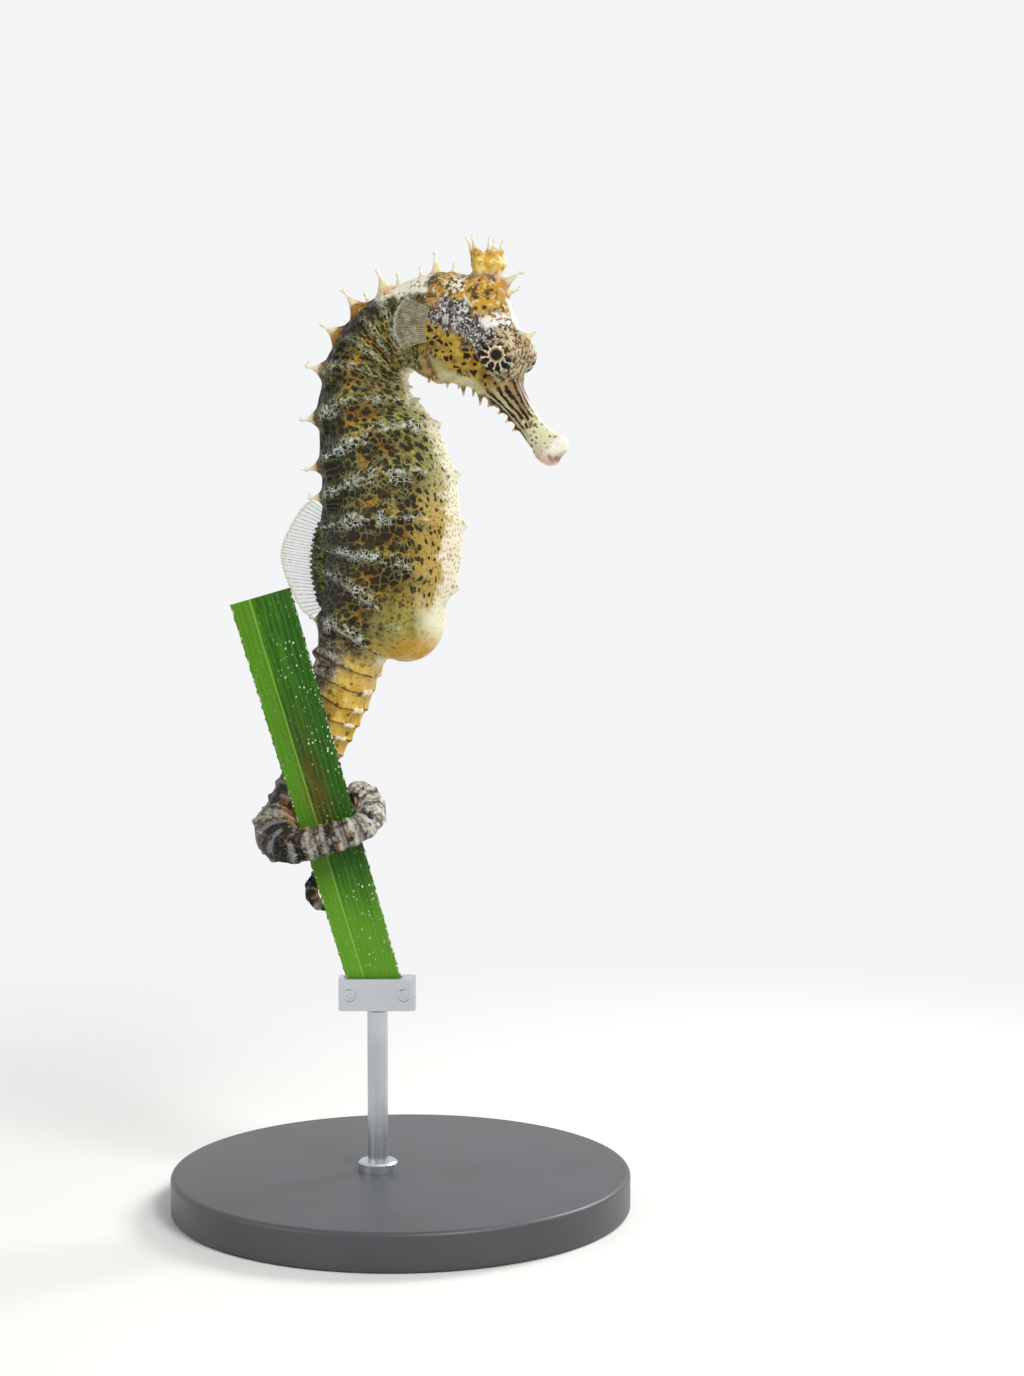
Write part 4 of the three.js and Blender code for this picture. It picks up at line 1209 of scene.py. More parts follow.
def trunk_ground(g, m, zone):
    """Khaki and gold, warmer low down and under each crest, with a cream belly."""
    mid, fine, edge = m.mid, m.fine, zone.edge
    ground = g.mix(fine.band(0.38, 0.62), KHAKI, CREAM)
    ground = g.mix(zone.low * 0.55, ground, g.mix(fine.band(0.4, 0.6), BRONZE, GOLD))
    nape = m.z.band(124.0, 130.0) * fine.band(0.36, 0.56)
    ground = g.mix(nape * 0.7, ground, 0xB0A468)
    ground = g.mix(mid.band(0.5, 0.4) * 0.7, ground, OLIVE)
    under_crest = m.after_ring.band(0.02, 0.2) * m.after_ring.band(0.75, 0.45)
    warm = m.big + under_crest * 0.16 + (fine - 0.5) * 0.25
    gold = warm.band(0.54, 0.64) * edge.window(0.3, 0.6, 0.08)
    ground = g.mix(gold * 0.9, ground, g.mix(fine.band(0.4, 0.6), ORANGE, GOLD))
    # The back goes near black: partly its own colour, partly painted shade.
    ground = g.mix(edge.band(0.56, 0.72) * 0.9, ground, 0x242C1C)
    pale = g.mix(mid.band(0.4, 0.62), 0x97945E, 0xB5AF78)
    pale = g.mix(m.big.band(0.4, 0.52) * zone.low * 0.75, pale, 0xBF9A44)
    pale = g.mix(zone.keel * 0.9, pale, 0xF4ECD2)
    return g.mix(zone.belly, ground, pale)


def dark_cells(g, colour, m, zone):
    """Dark cells swell towards the back and in blotches, until only the net shows."""
    # The cells swell over the back, partly as painted shade.
    dark = g.most(zone.back * 0.95, zone.blotch)
    distance, vary = g.cells(m.flat, 0.88, "Distance", "Color", flat=True)
    size, tone, _ = g.split(vary)
    radius = dark.band(0.0, 1.0, 0.43, 0.78) * (0.65 + size * 0.6)
    radius = radius * zone.belly.band(0.0, 1.0, 1.0, 0.5) * zone.keel.band(0.0, 1.0, 1.0, 0.5)
    cell = (distance / radius).band(1.2, 0.8)
    ink = g.mix(tone.band(0.4, 0.9), INK, 0x2A2410)
    colour = g.mix(cell * (1 - zone.keel) * 0.93, colour, ink)
    small = g.spots(m.flat, 1.7, 0.13, 0.4, flat=True)
    return g.mix(small * zone.belly.band(0.0, 1.0, 0.8, 0.5), colour, UMBER)


def pale_net(g, colour, m, zone):
    """The pale net is strongest on the crests, round the knobs and over the dark; the grooves get
    painted shade.
    """
    fine, edge, back = m.fine, zone.edge, zone.back
    net = g.net(m.flat, 0.88, 0.12, flat=True)
    fine_net = g.net(m.place, 1.3, 0.1)
    cluster = g.noise(m.place, 0.4, 2.0).band(0.52, 0.62)
    near_crest = m.from_ring.band(0.2, 0.06)
    froth = (g.noise(m.place, 0.28) + edge.band(0.4, 0.62, 0, 0.06)).band(0.5, 0.58)
    froth = m.from_ring.band(0.3, 0.12) * froth
    patches = zone.blotch * m.mid.band(0.44, 0.54) * 0.45
    shown = g.most(back * 0.4, near_crest * 0.6, cluster * 0.5, patches)
    crest = m.from_ring.band(0.075, 0.02) * fine.band(0.46, 0.56)
    foam = froth * g.most(fine_net, fine.band(0.54, 0.62))
    veins = g.most(net * shown, crest * 0.75, fine_net * cluster * 0.6, foam)
    veins = veins * zone.belly.band(0.0, 1.0, 1.0, 0.15)
    frost = g.mix(g.most(crest, foam) * m.z.band(128.0, 120.0, 0.5, 1.0), 0x94905E, FROST)
    # A darker net over the back, part of the same painted shade.
    frost = g.mix(back * (1 - crest), frost, 0x5E705C)
    # Painted shade in the grooves, darker where the skin lies lower.
    groove = m.raised.band(0.05, -0.3) * zone.belly.band(0.0, 1.0, 0.5, 0.12)
    colour = g.mix(groove, colour, 0x17150C)
    return g.mix(veins, colour, frost), veins * ((1 - zone.belly) * (1 - back))


def pouch_share(g, m):
    """Where the pouch's own colours show; they run into the flank's without an edge."""
    gap = g.attribute("pouch") + (m.mid - 0.5) * 3.5
    return gap.band(1.3, -0.5) * m.side.band(0.62, 0.45)


def pouch_colour(g, m):
    """Cream-khaki with fine brown specks, a gold lower rim and a white front."""
    x, _, z = g.split(m.place)
    centre = POUCH[0]
    down = (x - centre[0]) * 0.35 + (z - centre[2]) * -0.94 + (m.mid - 0.5) * 2.0
    skin = g.mix(m.mid.band(0.38, 0.62), 0x8E883F, 0xABA45C)
    upper = down.band(1.0, -3.5)
    skin = g.mix(upper * 0.7, skin, 0x84702F)
    specks = g.spots(m.place, 1.7, 0.22, 0.5)
    skin = g.mix(specks * down.band(4.0, -2.0, 0.25, 0.9), skin, 0x403214)
    front = x + (m.mid - 0.5) * 1.5
    skin = g.mix(front.band(4.2, 7.0) * 0.9, skin, 0xEDE6C6)
    rim = down.band(2.6, 6.0) * front.band(8.0, 5.5)
    return g.mix(rim * 0.85, skin, 0xCC9828)


def tail_colour(g, m):
    """Golden square plates with thin dark lines between, mottled grey towards the back."""
    side, mid, fine = m.side, m.mid, m.fine
    plate = g.mix(mid.band(0.38, 0.6), 0xBE9330, 0xD6B454)
    plate = g.mix(fine.band(0.56, 0.68) * 0.5, plate, 0xDCCB88)
    dots = g.spots(m.place, 0.7, 0.32, 0.5)
    plate = g.mix(dots * 0.75, plate, 0x4A3014)
    edge = side + (fine - 0.5) * 0.4 + m.s.band(TAIL_S, TAIL_S + 9, 0.18, 0.0)
    back = edge.band(0.52, 0.7)
    fleck = g.noise(m.place, 2.2, 2.0).band(0.56, 0.64)
    plate = g.mix(fleck * m.s.band(TAIL_S + 9, TAIL_S) * 0.6, plate, 0xBDB8A8)
    dusk = g.mix(fine.band(0.42, 0.58), 0x33251C, 0x8A8078)
    web = g.net(m.place, 1.2, 0.1) * mid.band(0.44, 0.56) * 0.8
    dusk = g.mix(web, dusk, FROST)
    plate = g.mix(back * 0.9, plate, dusk)
    line = m.from_ring.band(0.07, 0.02) * fine.band(0.3, 0.5)
    plate = g.mix(line * 0.9, plate, 0x3A2814)
    bead = m.from_ring.band(0.2, 0.08) * side.band(0.1, 0.06) * m.raised.band(0.25, 0.45) * 0.8
    return g.mix(bead, plate, PALE)


def coil_colour(g, m):
    """Black-brown and grey-white bands with pale ring lines, orange along the inner side."""
    mid, fine = m.mid, m.fine
    x, y, _ = g.split(m.place)
    right = x * RIGHTWARD[0] + y * RIGHTWARD[1]
    pale_side = (right + mid * 3.0).band(-9.0, -5.5)
    wave = (m.ring * 1.35 + mid * 7.0).sine()
    dark = g.mix(fine.band(0.46, 0.6), 0x0F0D0B, 0x2C2016)
    light = g.mix(fine.band(0.4, 0.6), 0x4C4234, 0x9A9482)
    colour = g.mix(wave.band(0.1, 0.7), dark, light)
    bleached = g.mix(fine.band(0.42, 0.6), 0x7E7668, 0xD4D0C4)
    colour = g.mix(pale_side * mid.band(0.4, 0.48) * 0.9, colour, bleached)
    rust = m.big.band(0.5, 0.6) * fine.band(0.5, 0.6)
    colour = g.mix(rust * 0.8, colour, 0x7A4A22)
    inner = m.side.band(0.34, 0.14) * mid.band(0.38, 0.52)
    colour = g.mix(inner * 0.8, colour, 0xB07A30)
    crest = m.from_ring.band(0.22, 0.06) * mid.band(0.36, 0.5)
    colour = g.mix(crest * pale_side.band(0, 1, 0.3, 0.7), colour, 0xC5C8C2)
    groove = m.from_ring.band(0.36, 0.47)
    colour = g.mix(groove * 0.7, colour, 0x120E0C)
    return g.mix(m.grain.band(0.6, 0.7) * 0.5, colour, 0xD8D8D2)


def saddle(g, colour, m):
    """The white saddle on the nape, with the dark patch behind it."""
    edge = m.s + (m.mid - 0.5) * 5.0
    high = (m.side + (m.mid - 0.5) * 0.3).band(0.66, 0.76)
    white = edge.window(NECK_S - 4.2, NECK_S + 1.9, 0.7) * high
    dark = edge.window(NECK_S + 2.0, NECK_S + 7.5, 0.8) * m.side.band(0.58, 0.72)
    specks = g.spots(m.place, 1.2, 0.22, 0.5)
    cloth = g.mix(specks * 0.8, PALE, 0x8C7B55)
    colour = g.mix(white * 0.92, colour, cloth)
    patch = g.mix(m.fine.band(0.42, 0.6), INK, PLUM)
    return g.mix(dark * 0.85, colour, patch)


def head_colour(g, m):
    """Spotted gold cheeks under grey mottling, a cream jaw and a striped snout base."""
    place, side, mid, fine = m.place, m.side, m.mid, m.fine
    x, _, z = g.split(g.warp(place, 0.6, 2.2))
    aside = abs(g.split(place)[1])
    shallow = g.vector("MULTIPLY", place, (1.0, 0.25, 1.05))

    cheek = g.mix(mid.band(0.4, 0.6), 0x9A7E2C, 0xBE9A3A)
    cheek = g.mix(fine.band(0.5, 0.62) * 0.5, cheek, 0xB0A468)
    cheek = g.mix(g.noise(place, 0.7, 2.0).band(0.5, 0.4) * 0.6, cheek, 0x5C4018)
    rows = g.spots(g.join(x, z * 1.1, 0.0), 0.76, 0.38, 0.25, 0.6, 0.2, True)
    cheek = g.mix(rows, cheek, 0x26150A)

    grey = g.mix(fine.band(0.46, 0.6), PLUM, 0x86827A)
    lace = g.net(g.warp(place, 1.2, 0.8), 1.1, 0.13) * fine.band(0.4, 0.54)
    grey = g.mix(lace * 0.8, grey, 0xD2D5D4)
    grey = g.mix(mid.band(0.48, 0.58) * 0.8, grey, 0x33241A)
    fleck = g.noise(place, 2.6, 2.0)
    grey = g.mix(fleck.band(0.58, 0.64) * 0.75, grey, 0xDCDDDA)
    ahead = g.mix(fine.band(0.42, 0.56), 0x4A3320, 0xB9AE86)
    ahead = g.mix(fleck.band(0.56, 0.62) * 0.7, ahead, 0xCC8A2C)
    grey = g.mix((x + z * -0.3).band(-23.2, -21.8) * 0.85, grey, ahead)

    top = g.mix(mid.band(0.42, 0.54), 0x5E4420, 0xC0902E)
    top = g.mix(fine.band(0.53, 0.64) * 0.75, top, 0xD9CDA4)
    top = g.mix(g.spots(shallow, 0.7, 0.36, 0.4, 0.9) * 0.9, top, 0x2E1C0E)

    jaw = g.mix(mid.band(0.4, 0.6), 0xB2A66C, 0xCFC69A)
    long_dots = g.vector("MULTIPLY", place, (0.8, 0.5, 1.0))
    jaw = g.mix(g.spots(long_dots, 0.85, 0.3, 0.5) * 0.85, jaw, 0x4C3C22)

    edge = side + (mid - 0.5) * 0.22
    colour = g.mix(edge.band(0.3, 0.37), jaw, cheek)
    colour = g.mix(edge.band(0.49, 0.56), colour, grey)
    colour = g.mix(edge.band(0.68, 0.75) * z.band(136.5, 139.0), colour, top)
    near_crown = z.band(141.0, 142.5) * x.band(9.5, 11.0) * x.band(13.5, 12.0)
    colour = g.mix(near_crown * 0.8, colour, g.mix(fine.band(0.46, 0.54), PLUM, PALE))
    nape = x.window(4.6, 9.6, 0.8) * z.band(138.6, 140.6)
    colour = g.mix(nape * 0.85, colour, top)
    throat = x.band(9.0, 7.0) * z.band(132.5, 130.5)
    colour = g.mix(throat * fine.band(0.34, 0.54) * 0.75, colour, 0xB0732E)

    # Painted shade in the crease at the gill cover's rear edge, a painted highlight along the
    # forehead, and white ridge lines.
    gill = g.attribute("gill")
    # Painted shade, dark olive, in the fold at the gill cover's rear edge.
    crease_shade = gill.band(0.02, 0.3) * gill.band(1.1, 0.6) * x.band(9.0, 7.8) * side.band(0.75, 0.6)
    colour = g.mix(crease_shade * fine.band(0.36, 0.56) * 0.75, colour, 0x4A3B22)
    # A painted highlight, near white, down the forehead's front edge.
    front = (aside + fine * 1.2).band(1.8, 0.9) * side.band(0.78, 0.9)
    front = front * x.band(16.0, 17.5) * z.band(134.0, 136.5)
    colour = g.mix(front * 0.9, colour, 0xE6E0D6)
    line = g.attribute("ridge").band(0.2, 0.0) * fine.band(0.42, 0.52)
    line = line * z.band(130.5, 134.0, 0.25, 1.0)
    colour = g.mix(line * 0.85, colour, 0xD9DCDC)
    # A painted highlight on the brow above the eye.
    brow = x.window(16.2, 19.6, 0.5) * z.window(136.4, 138.6, 0.5)
    colour = g.mix(brow * fine.band(0.38, 0.5), colour, 0xEBE3DC)
    return snout_colour(g, colour, m)


def snout_colour(g, colour, m):
    """Dark streaks run down the snout's base, and break into dots on the cream beyond."""
    s, side, place, mid, fine = m.s, m.side, m.place, m.mid, m.fine
    wave = (side * 46.0 + mid * 7.0).sine()
    broken = g.noise(g.join(side * 16.0, s * 0.45, 0.0), 1.0)
    streak = (wave + (broken - 0.5) * 5.0).band(-0.35, 0.25)
    upper = g.mix(side.band(0.35, 0.7), 0xB4AC80, 0x947650)
    base = g.mix(streak, upper, 0x241812)
    beyond = g.mix(g.spots(place, 1.3, 0.24, 0.5) * 0.85, 0xD3CFA8, UMBER)
    beyond = g.mix(s.band(2.6, 0.8) * 0.85, beyond, 0xEDE8DA)
    x, _, z = g.split(place)
    lip = z.band(118.2, 117.2) * x.band(23.2, 24.0) * mid.band(0.36, 0.56)
    beyond = g.mix(lip * 0.7, beyond, 0xD9A890)
    seam = (x - 25.9) * 0.77 + (z - 117.4) * 0.64
    down = (x - 25.9) * 0.64 + (z - 117.4) * -0.77
    seam = abs(seam).band(0.6, 0.15) * down.band(-0.3, 0.2)
    beyond = g.mix(seam * 0.6, beyond, 0x8A5A48)
    end = s + (fine - 0.5) * 9.0 + side * -3.0
    snout = g.mix(end.band(3.6, 5.6), beyond, base)
    ridge = (side + (fine - 0.5) * 0.2).band(0.9, 0.97)
    snout = g.mix(ridge * s.band(11.5, 8.5) * 0.8, snout, 0xE9E3D6)
    stretch = s + (fine - 0.5) * 3.5
    return g.mix(stretch.band(15.5, 12.5), colour, snout)


def crown_colour(g, m):
    """Gold and spotted, grey at its foot and white on its tips."""
    high, fine = m.z, m.fine
    colour = g.mix(fine.band(0.4, 0.6), 0xD0A63E, 0xE8D27E)
    colour = g.mix(g.spots(m.place, 0.9, 0.28, 0.5) * 0.7, colour, 0x7A5420)
    colour = g.mix(high.band(145.4, 144.0), colour, 0x7B6A72)
    tips = high + (fine - 0.5) * 1.5
    return g.mix(tips.band(147.6, 148.8), colour, PALE)


# ---------------------------------------------------------------- eyes
def eye_polar(g, place):
    """Distance from the line of sight, angle round it and how far ahead of the ball."""
    x, y, z = g.split(place)
    folded = g.join(x, abs(y), z)
    off = g.vector("SUBTRACT", folded, tuple(EYE["at"]))
    gaze = Vector(EYE["gaze"]).normalized()
    first = gaze.cross(Vector((0, 0, 1))).normalized()
    second = gaze.cross(first)
    a, b, ahead = (g.vector("DOT_PRODUCT", off, tuple(axis)) for axis in (first, second, gaze))
    return (a * a + b * b).sqrt(), g.math("ARCTAN2", b, a), ahead


def eye_rays(g, place):
    """Black petals in a white net round the iris, as a colour, and how far out each place is."""
    away, angle, ahead = eye_polar(g, place)
    wave = (angle * EYE["petals"] + g.noise(place, 0.8, 2.0) * 9.0).sine()
    length = 2.55 + g.noise(place, 0.55, 1.0) * 1.1
    slim = abs(away - 2.05).band(0.3, length * 0.42, -0.45, 1.1)
    petal = wave.band(slim + -0.42, slim + -0.12)
    petal = petal * away.band(EYE["iris"] + 0.08, EYE["iris"] + 0.2)
    grain = g.noise(place, 2.4)
    pale = g.mix(grain.band(0.42, 0.6), 0xE4DDC9, 0x9F9072)
    dark = g.mix(grain.band(0.5, 0.7), INK, 0x3A2A1C)
    return g.mix(petal, pale, dark), away, ahead


def eye_material():
    """A black pupil, a copper iris with a pale rim, and petals beyond, under a wet coat."""
    g = Graph(bpy.data.materials.new("eye"))
    place = g.place()
    pupil, iris = EYE["pupil"], EYE["iris"]
    colour, away, _ = eye_rays(g, place)
    grain = g.noise(place, 5.0, 2.0)
    copper = g.mix(grain.band(0.35, 0.65), 0x7C4A22, 0xC08A52)
    colour = g.mix(away.band(iris + 0.12, iris + 0.04), colour, 0xC4B99E)
    colour = g.mix(away.band(iris, iris - 0.08), colour, copper)
    colour = g.mix(away.band(pupil + 0.05, pupil - 0.03), colour, (0.003, 0.003, 0.004))
    g.set(Base_Color=colour, Roughness=0.4, Specular_IOR_Level=0.1)
    g.set(Coat_Weight=1.0, Coat_Roughness=0.03, Coat_IOR=1.28)
    return g.owner


def eyeball(side, material):
    """A round ball with the slight bulge of the cornea over its pupil."""
    around, along = 64, 40
    gaze = gaze_axis(side)
    first = unit(np.cross(gaze, UPWARD))
    second = np.cross(gaze, first)
    centre = mirrored(EYE["at"], side)
    ball, cornea = EYE["radius"], EYE["cornea"]
    points = [centre + gaze * (ball + cornea)]
    for row in range(1, along):
        polar = math.pi * row / along
        bulge = cornea * float(smooth(1.5, 0.2, ball * math.sin(polar))) * (polar < 1.5)
        radius = ball + bulge
        for column in range(around):
            turn = 2 * math.pi * column / around
            aside = first * math.cos(turn) + second * math.sin(turn)
            points.append(centre + radius * (gaze * math.cos(polar) + aside * math.sin(polar)))
    points.append(centre - gaze * ball)
    last = len(points) - 1
    faces = [(0, 1 + c, 1 + (c + 1) % around) for c in range(around)]
    faces += band_faces(along - 1, around, 1)
    start = 1 + (along - 2) * around
    faces += [(start + c, last, start + (c + 1) % around) for c in range(around)]
    name = SIDE_NAMES[side]
    dress(mesh_object("eyeball_" + name, points, faces), material, "eye", "eye_" + name)


# ---------------------------------------------------------------- tubes, for rays and fringes
class Tubes:
    """Many thin tapered tubes gathered into one mesh."""

    def __init__(self, sides=6):
        self.sides = sides
        self.points = []
        self.faces = []
        self.patches = []

    def add(self, path, radii, root=(0, 0)):
        """A tube through a path of points, closed at both ends, mapped round its root's place."""
        path = np.asarray(path, float)
        along = unit(np.gradient(path, axis=0))
        guide = np.array([0.31, 0.92, 0.24])
        first = unit(np.cross(along, guide))
        second = np.cross(along, first)
        self.faces += tube_faces(len(path), self.sides, len(self.points))
        turns = np.arange(self.sides) * 2 * math.pi / self.sides
        for row, (at, a, b, radius) in enumerate(zip(path, first, second, radii)):
            ring = np.cos(turns)[:, None] * a + np.sin(turns)[:, None] * b
            self.points += list(at + radius * ring)
            self.patches += [(root[0] + PATCH * (row / (len(path) - 1) - 0.5),
                              root[1] + PATCH * (c / self.sides - 0.5))
                             for c in range(self.sides)]

    def make(self, name, material, slot):
        made = mesh_object(name, self.points, self.faces)
        dress(made, material, slot)
        return made

    def map_patches(self, made):
        """Gives each tube a small patch of its own on the map OFBake."""
        corners = np.empty(len(made.data.loops), np.int32)
        made.data.loops.foreach_get("vertex_index", corners)
        layer = made.data.uv_layers.new(name="OFBake")
        layer.data.foreach_set("uv", np.array(self.patches, np.float32)[corners].ravel())


def unrolled(point):
    """Where a point of the skin lies on the body's own unwrap: along it and round it."""
    point = np.array([point], np.float32)
    s = project(point, axis_hints(point)[0])
    psi, _, _ = section_place(point, s)
    at, right = AXIS.read(s, "at", "right")
    turn = psi[0] * np.sign(dot(point - at, right)[0])
    return 0.02 + 0.96 * float(s[0]) / AXIS.length, 0.5 + 0.48 * float(turn) / math.pi


def fringe_material():
    """Cream filaments, amber in places."""
    g = Graph(bpy.data.materials.new("fringe"))
    colour = g.mix(g.noise(g.place(), 1.4, 2.0).band(0.35, 0.7), PALE, 0xD8B98C)
    g.set(Base_Color=colour, Roughness=0.5, Subsurface_Weight=0.15, Subsurface_Scale=0.0006)
    return g.owner


def fringes():
    """Fine pale filaments on the tips of the thorns, spines and crown."""
    rng = np.random.default_rng(FRINGE["seed"])
    tubes = Tubes(FRINGE["sides"])
    t = np.linspace(0, 1, FRINGE["rows"])[:, None]
    radii = FRINGE["thick"] * (1 - 0.6 * t[:, 0])
    for index, (root, tip, _) in enumerate(ALL_CONES):
        root, tip = np.array(root), np.array(tip)
        way = unit(tip - root)
        under_jaw = tip[2] < 131 and tip[0] > 0
        if under_jaw:
            continue
        for _ in range(3 if index < len(THORN_CONES) else 2):
            length = rng.uniform(FRINGE["shortest"], FRINGE["longest"])
            lean = unit(way + rng.normal(0, FRINGE["spread"], 3) + np.array([0, 0, 0.25]))
            curl = rng.normal(0, FRINGE["curl"], 3) + np.array([0, 0, 0.3])
            path = tip - way * 0.35 + lean * length * t + curl * length * 0.35 * t ** 2
            tubes.add(path, radii, unrolled(root))
    tubes.map_patches(tubes.make("fringes", fringe_material(), "skin"))


# ---------------------------------------------------------------- fins
def membrane_material(name, tint, milky, rim, clear):
    """Thin clear skin between rays, whiter along its rim."""
    g = Graph(bpy.data.materials.new(name))
    place = g.place()
    out = g.attribute("out")
    cloud = g.noise(place, 0.9)
    colour = g.mix(cloud.band(0.4, 0.65), tint, milky)
    colour = g.mix(out.band(0.86, 0.97), colour, rim)
    alpha = cloud.band(0.3, 0.7, clear * 0.75, clear * 1.3)
    alpha = alpha + out.band(0.88, 0.98, 0, 0.3) + out.band(0.25, 0.0, 0, 0.3)
    alpha = g.math("MINIMUM", alpha, 1.0)
    g.set(Base_Color=colour, Roughness=0.35, Alpha=alpha, Specular_IOR_Level=0.4)
    return g.owner


def membrane(name, node, grid, thickness, material):
    """A sheet through a grid of points, rays by steps outward, with its thickness."""
    rays, steps = grid.shape[:2]
    made = mesh_object(name, grid.reshape(-1, 3), band_faces(rays, steps, closed=False))
    write_values(made.data, "out", np.tile(np.linspace(0, 1, steps), rays))
    solid = made.modifiers.new("solid", "SOLIDIFY")
    solid.thickness = thickness * MM
    solid.offset = 0
    apply_modifiers(made)
    dress(made, material, "fin", node)


def ray_material(name, colour):
    """Pale bone, darker in clouds."""
    g = Graph(bpy.data.materials.new(name))
    darker = tuple(0.6 * part for part in linear(colour))
    bone = g.mix(g.noise(g.place(), 1.6, 2.0).band(0.4, 0.65), colour, darker)
    g.set(Base_Color=bone, Roughness=0.4, Specular_IOR_Level=0.4)
    return g.owner


def back_fin():
    """A clear fan on the back, held out by fine pale rays that fork near their tips."""
    rays, fill, steps = BACK_FIN["rays"], 4, BACK_FIN["steps"]
    t = np.linspace(0, 1, (rays - 1) * fill + 1)[:, None]
    out = np.linspace(0, 1, steps)[None]
    angle = np.radians(BACK_FIN["level"] + BACK_FIN["splay"] * (1 - 2 * t) ** 3)
    length = BACK_FIN["shortest"] + BACK_FIN["swell"] * np.sin(math.pi * t) ** 0.7
    ragged = 1 - 0.02 * np.abs(np.sin(math.pi * t * (rays - 1)))
    reach = length * out * ragged
    (x0, z0), (x1, z1) = BACK_FIN["top"], BACK_FIN["bottom"]
    x = lerp(x0, x1, t) - reach * np.cos(angle)
    z = lerp(z0, z1, t) + reach * np.sin(angle)
    sway = 0.45 * np.sin(7 * t + 1.0) * out ** 1.5 + 0.12 * np.sin(math.pi * t * (rays - 1)) * out
    grid = np.stack([x, sway + 0 * x, z], -1)
    clear = membrane_material("back_fin_membrane", 0xB4C3C2, 0xE2E4DC, PALE, 0.18)
    membrane("back_fin", "dorsal_fin", grid, BACK_FIN["thick"], clear)
    tubes = Tubes()
    taper = BACK_FIN["ray_root"] - BACK_FIN["ray_taper"] * np.linspace(0, 1, steps)
    fork = BACK_FIN["fork"]
    apart = np.linspace(0, 0.75, steps - fork)[:, None]
    for ray in range(rays):
        row = grid[ray * fill]
        tubes.add(row[:fork + 1], taper[:fork + 1])
        for neighbour in (-1, 1):
            beside = grid[min(max(ray * fill + neighbour, 0), len(grid) - 1)]
            tubes.add(lerp(row[fork:], beside[fork:], apart), taper[fork:] * 0.8)
    tubes.make("back_fin_rays", ray_material("back_fin_ray", 0xEDEBDD), "fin")


def side_fin(side, material, ray):
    """The small fan behind a gill cover, cupped a little away from the neck."""
    rays, fill, steps = SIDE_FIN["rays"], 3, SIDE_FIN["steps"]
    t = np.linspace(0, 1, (rays - 1) * fill + 1)[:, None]
    out = np.linspace(0.0, 1, steps)[None]
    angle = np.radians(lerp(SIDE_FIN["spread"], -SIDE_FIN["spread"], t))
    ragged = 1 - 0.05 * np.abs(np.sin(math.pi * t * (rays - 1)))
    length = (SIDE_FIN["radius"] + SIDE_FIN["swell"] * np.cos(angle)) * ragged
    foot_x, foot_z = SIDE_FIN["foot"]
    root_x, root_z = foot_x + 0 * t, lerp(foot_z, -foot_z, t)
    tip_x = SIDE_FIN["hinge"] - length * np.cos(angle)
    tip_z = length * np.sin(angle)
    x, z = lerp(root_x, tip_x, out), lerp(root_z, tip_z, out)
    cup = 0.35 * np.sin(math.pi * out) - 1.5 * (1 - out) ** 3
    y = side * (cup + 0.1 * np.sin(math.pi * t * (rays - 1)) * out)
    turn = side * SIDE_FIN["splay"]
    x, y = x * math.cos(turn) - y * math.sin(turn), x * math.sin(turn) + y * math.cos(turn)
    lean = SIDE_FIN["lean"]
    x, z = x * math.cos(lean) + z * math.sin(lean), z * math.cos(lean) - x * math.sin(lean)
    grid = np.stack([x, y + 0 * z, z], -1) + np.array(SIDE_FIN["at"]) * (1, side, 1)
    name = SIDE_NAMES[side]
    membrane("side_fin_" + name, "pectoral_fin_" + name, grid, SIDE_FIN["thick"], material)
    tubes = Tubes()
    for row in grid[::fill]:
        tubes.add(row, np.linspace(SIDE_FIN["ray_root"], SIDE_FIN["ray_tip"], steps))
    tubes.make("side_fin_rays_" + name, ray, "fin")


# ---------------------------------------------------------------- the seagrass blade
def blade_piece():
    """The cut blade: raised veins and fine teeth on its edges."""
    steps, sides = BLADE["steps"], BLADE["sides"]
    grow = np.linspace(-BLADE["up"], BLADE["down"], steps + 1)
    across = np.linspace(-1, 1, sides + 1)
    shape = lerp(BLADE["thick"], BLADE["edge"], np.abs(across)) / 2
    vein = BLADE["vein"] * np.cos(across * math.pi * BLADE["veins"])
    teeth = BLADE["tooth"] * np.maximum(np.sin(grow * 3.1 + 0.8 * np.sin(grow * 0.9)), 0) ** 6
    half = BLADE["half"] - BLADE["taper"] * grow
    points = []
    for i, down in enumerate(grow):
        tooth = 1 + teeth[i] / half[i] * (np.abs(across) > 0.97)
        side = across * half[i] * tooth
        front = blade_point(side, down + 0 * side, shape + vein)
        back = blade_point(side[::-1], down + 0 * side, -shape[::-1] - vein[::-1])
        points.append(np.concatenate([front, back]))
    points = np.concatenate(points)
    ring = 2 * (sides + 1)
    faces = band_faces(steps + 1, ring)
    for row, flip in ((0, False), (steps, True)):
        for k in range(sides):
            a, b = row * ring + k, row * ring + k + 1
            c, d = row * ring + ring - 2 - k, row * ring + ring - 1 - k
            faces.append((a, b, c, d) if not flip else (d, c, b, a))
    made = mesh_object("seagrass_blade", points, faces)
    both_faces = np.concatenate([across, across[::-1]])
    write_values(made.data, "across", np.tile(both_faces, steps + 1))
    write_values(made.data, "down", np.repeat(grow, ring))
    dress(made, blade_material(), "seagrass", "perch_blade")


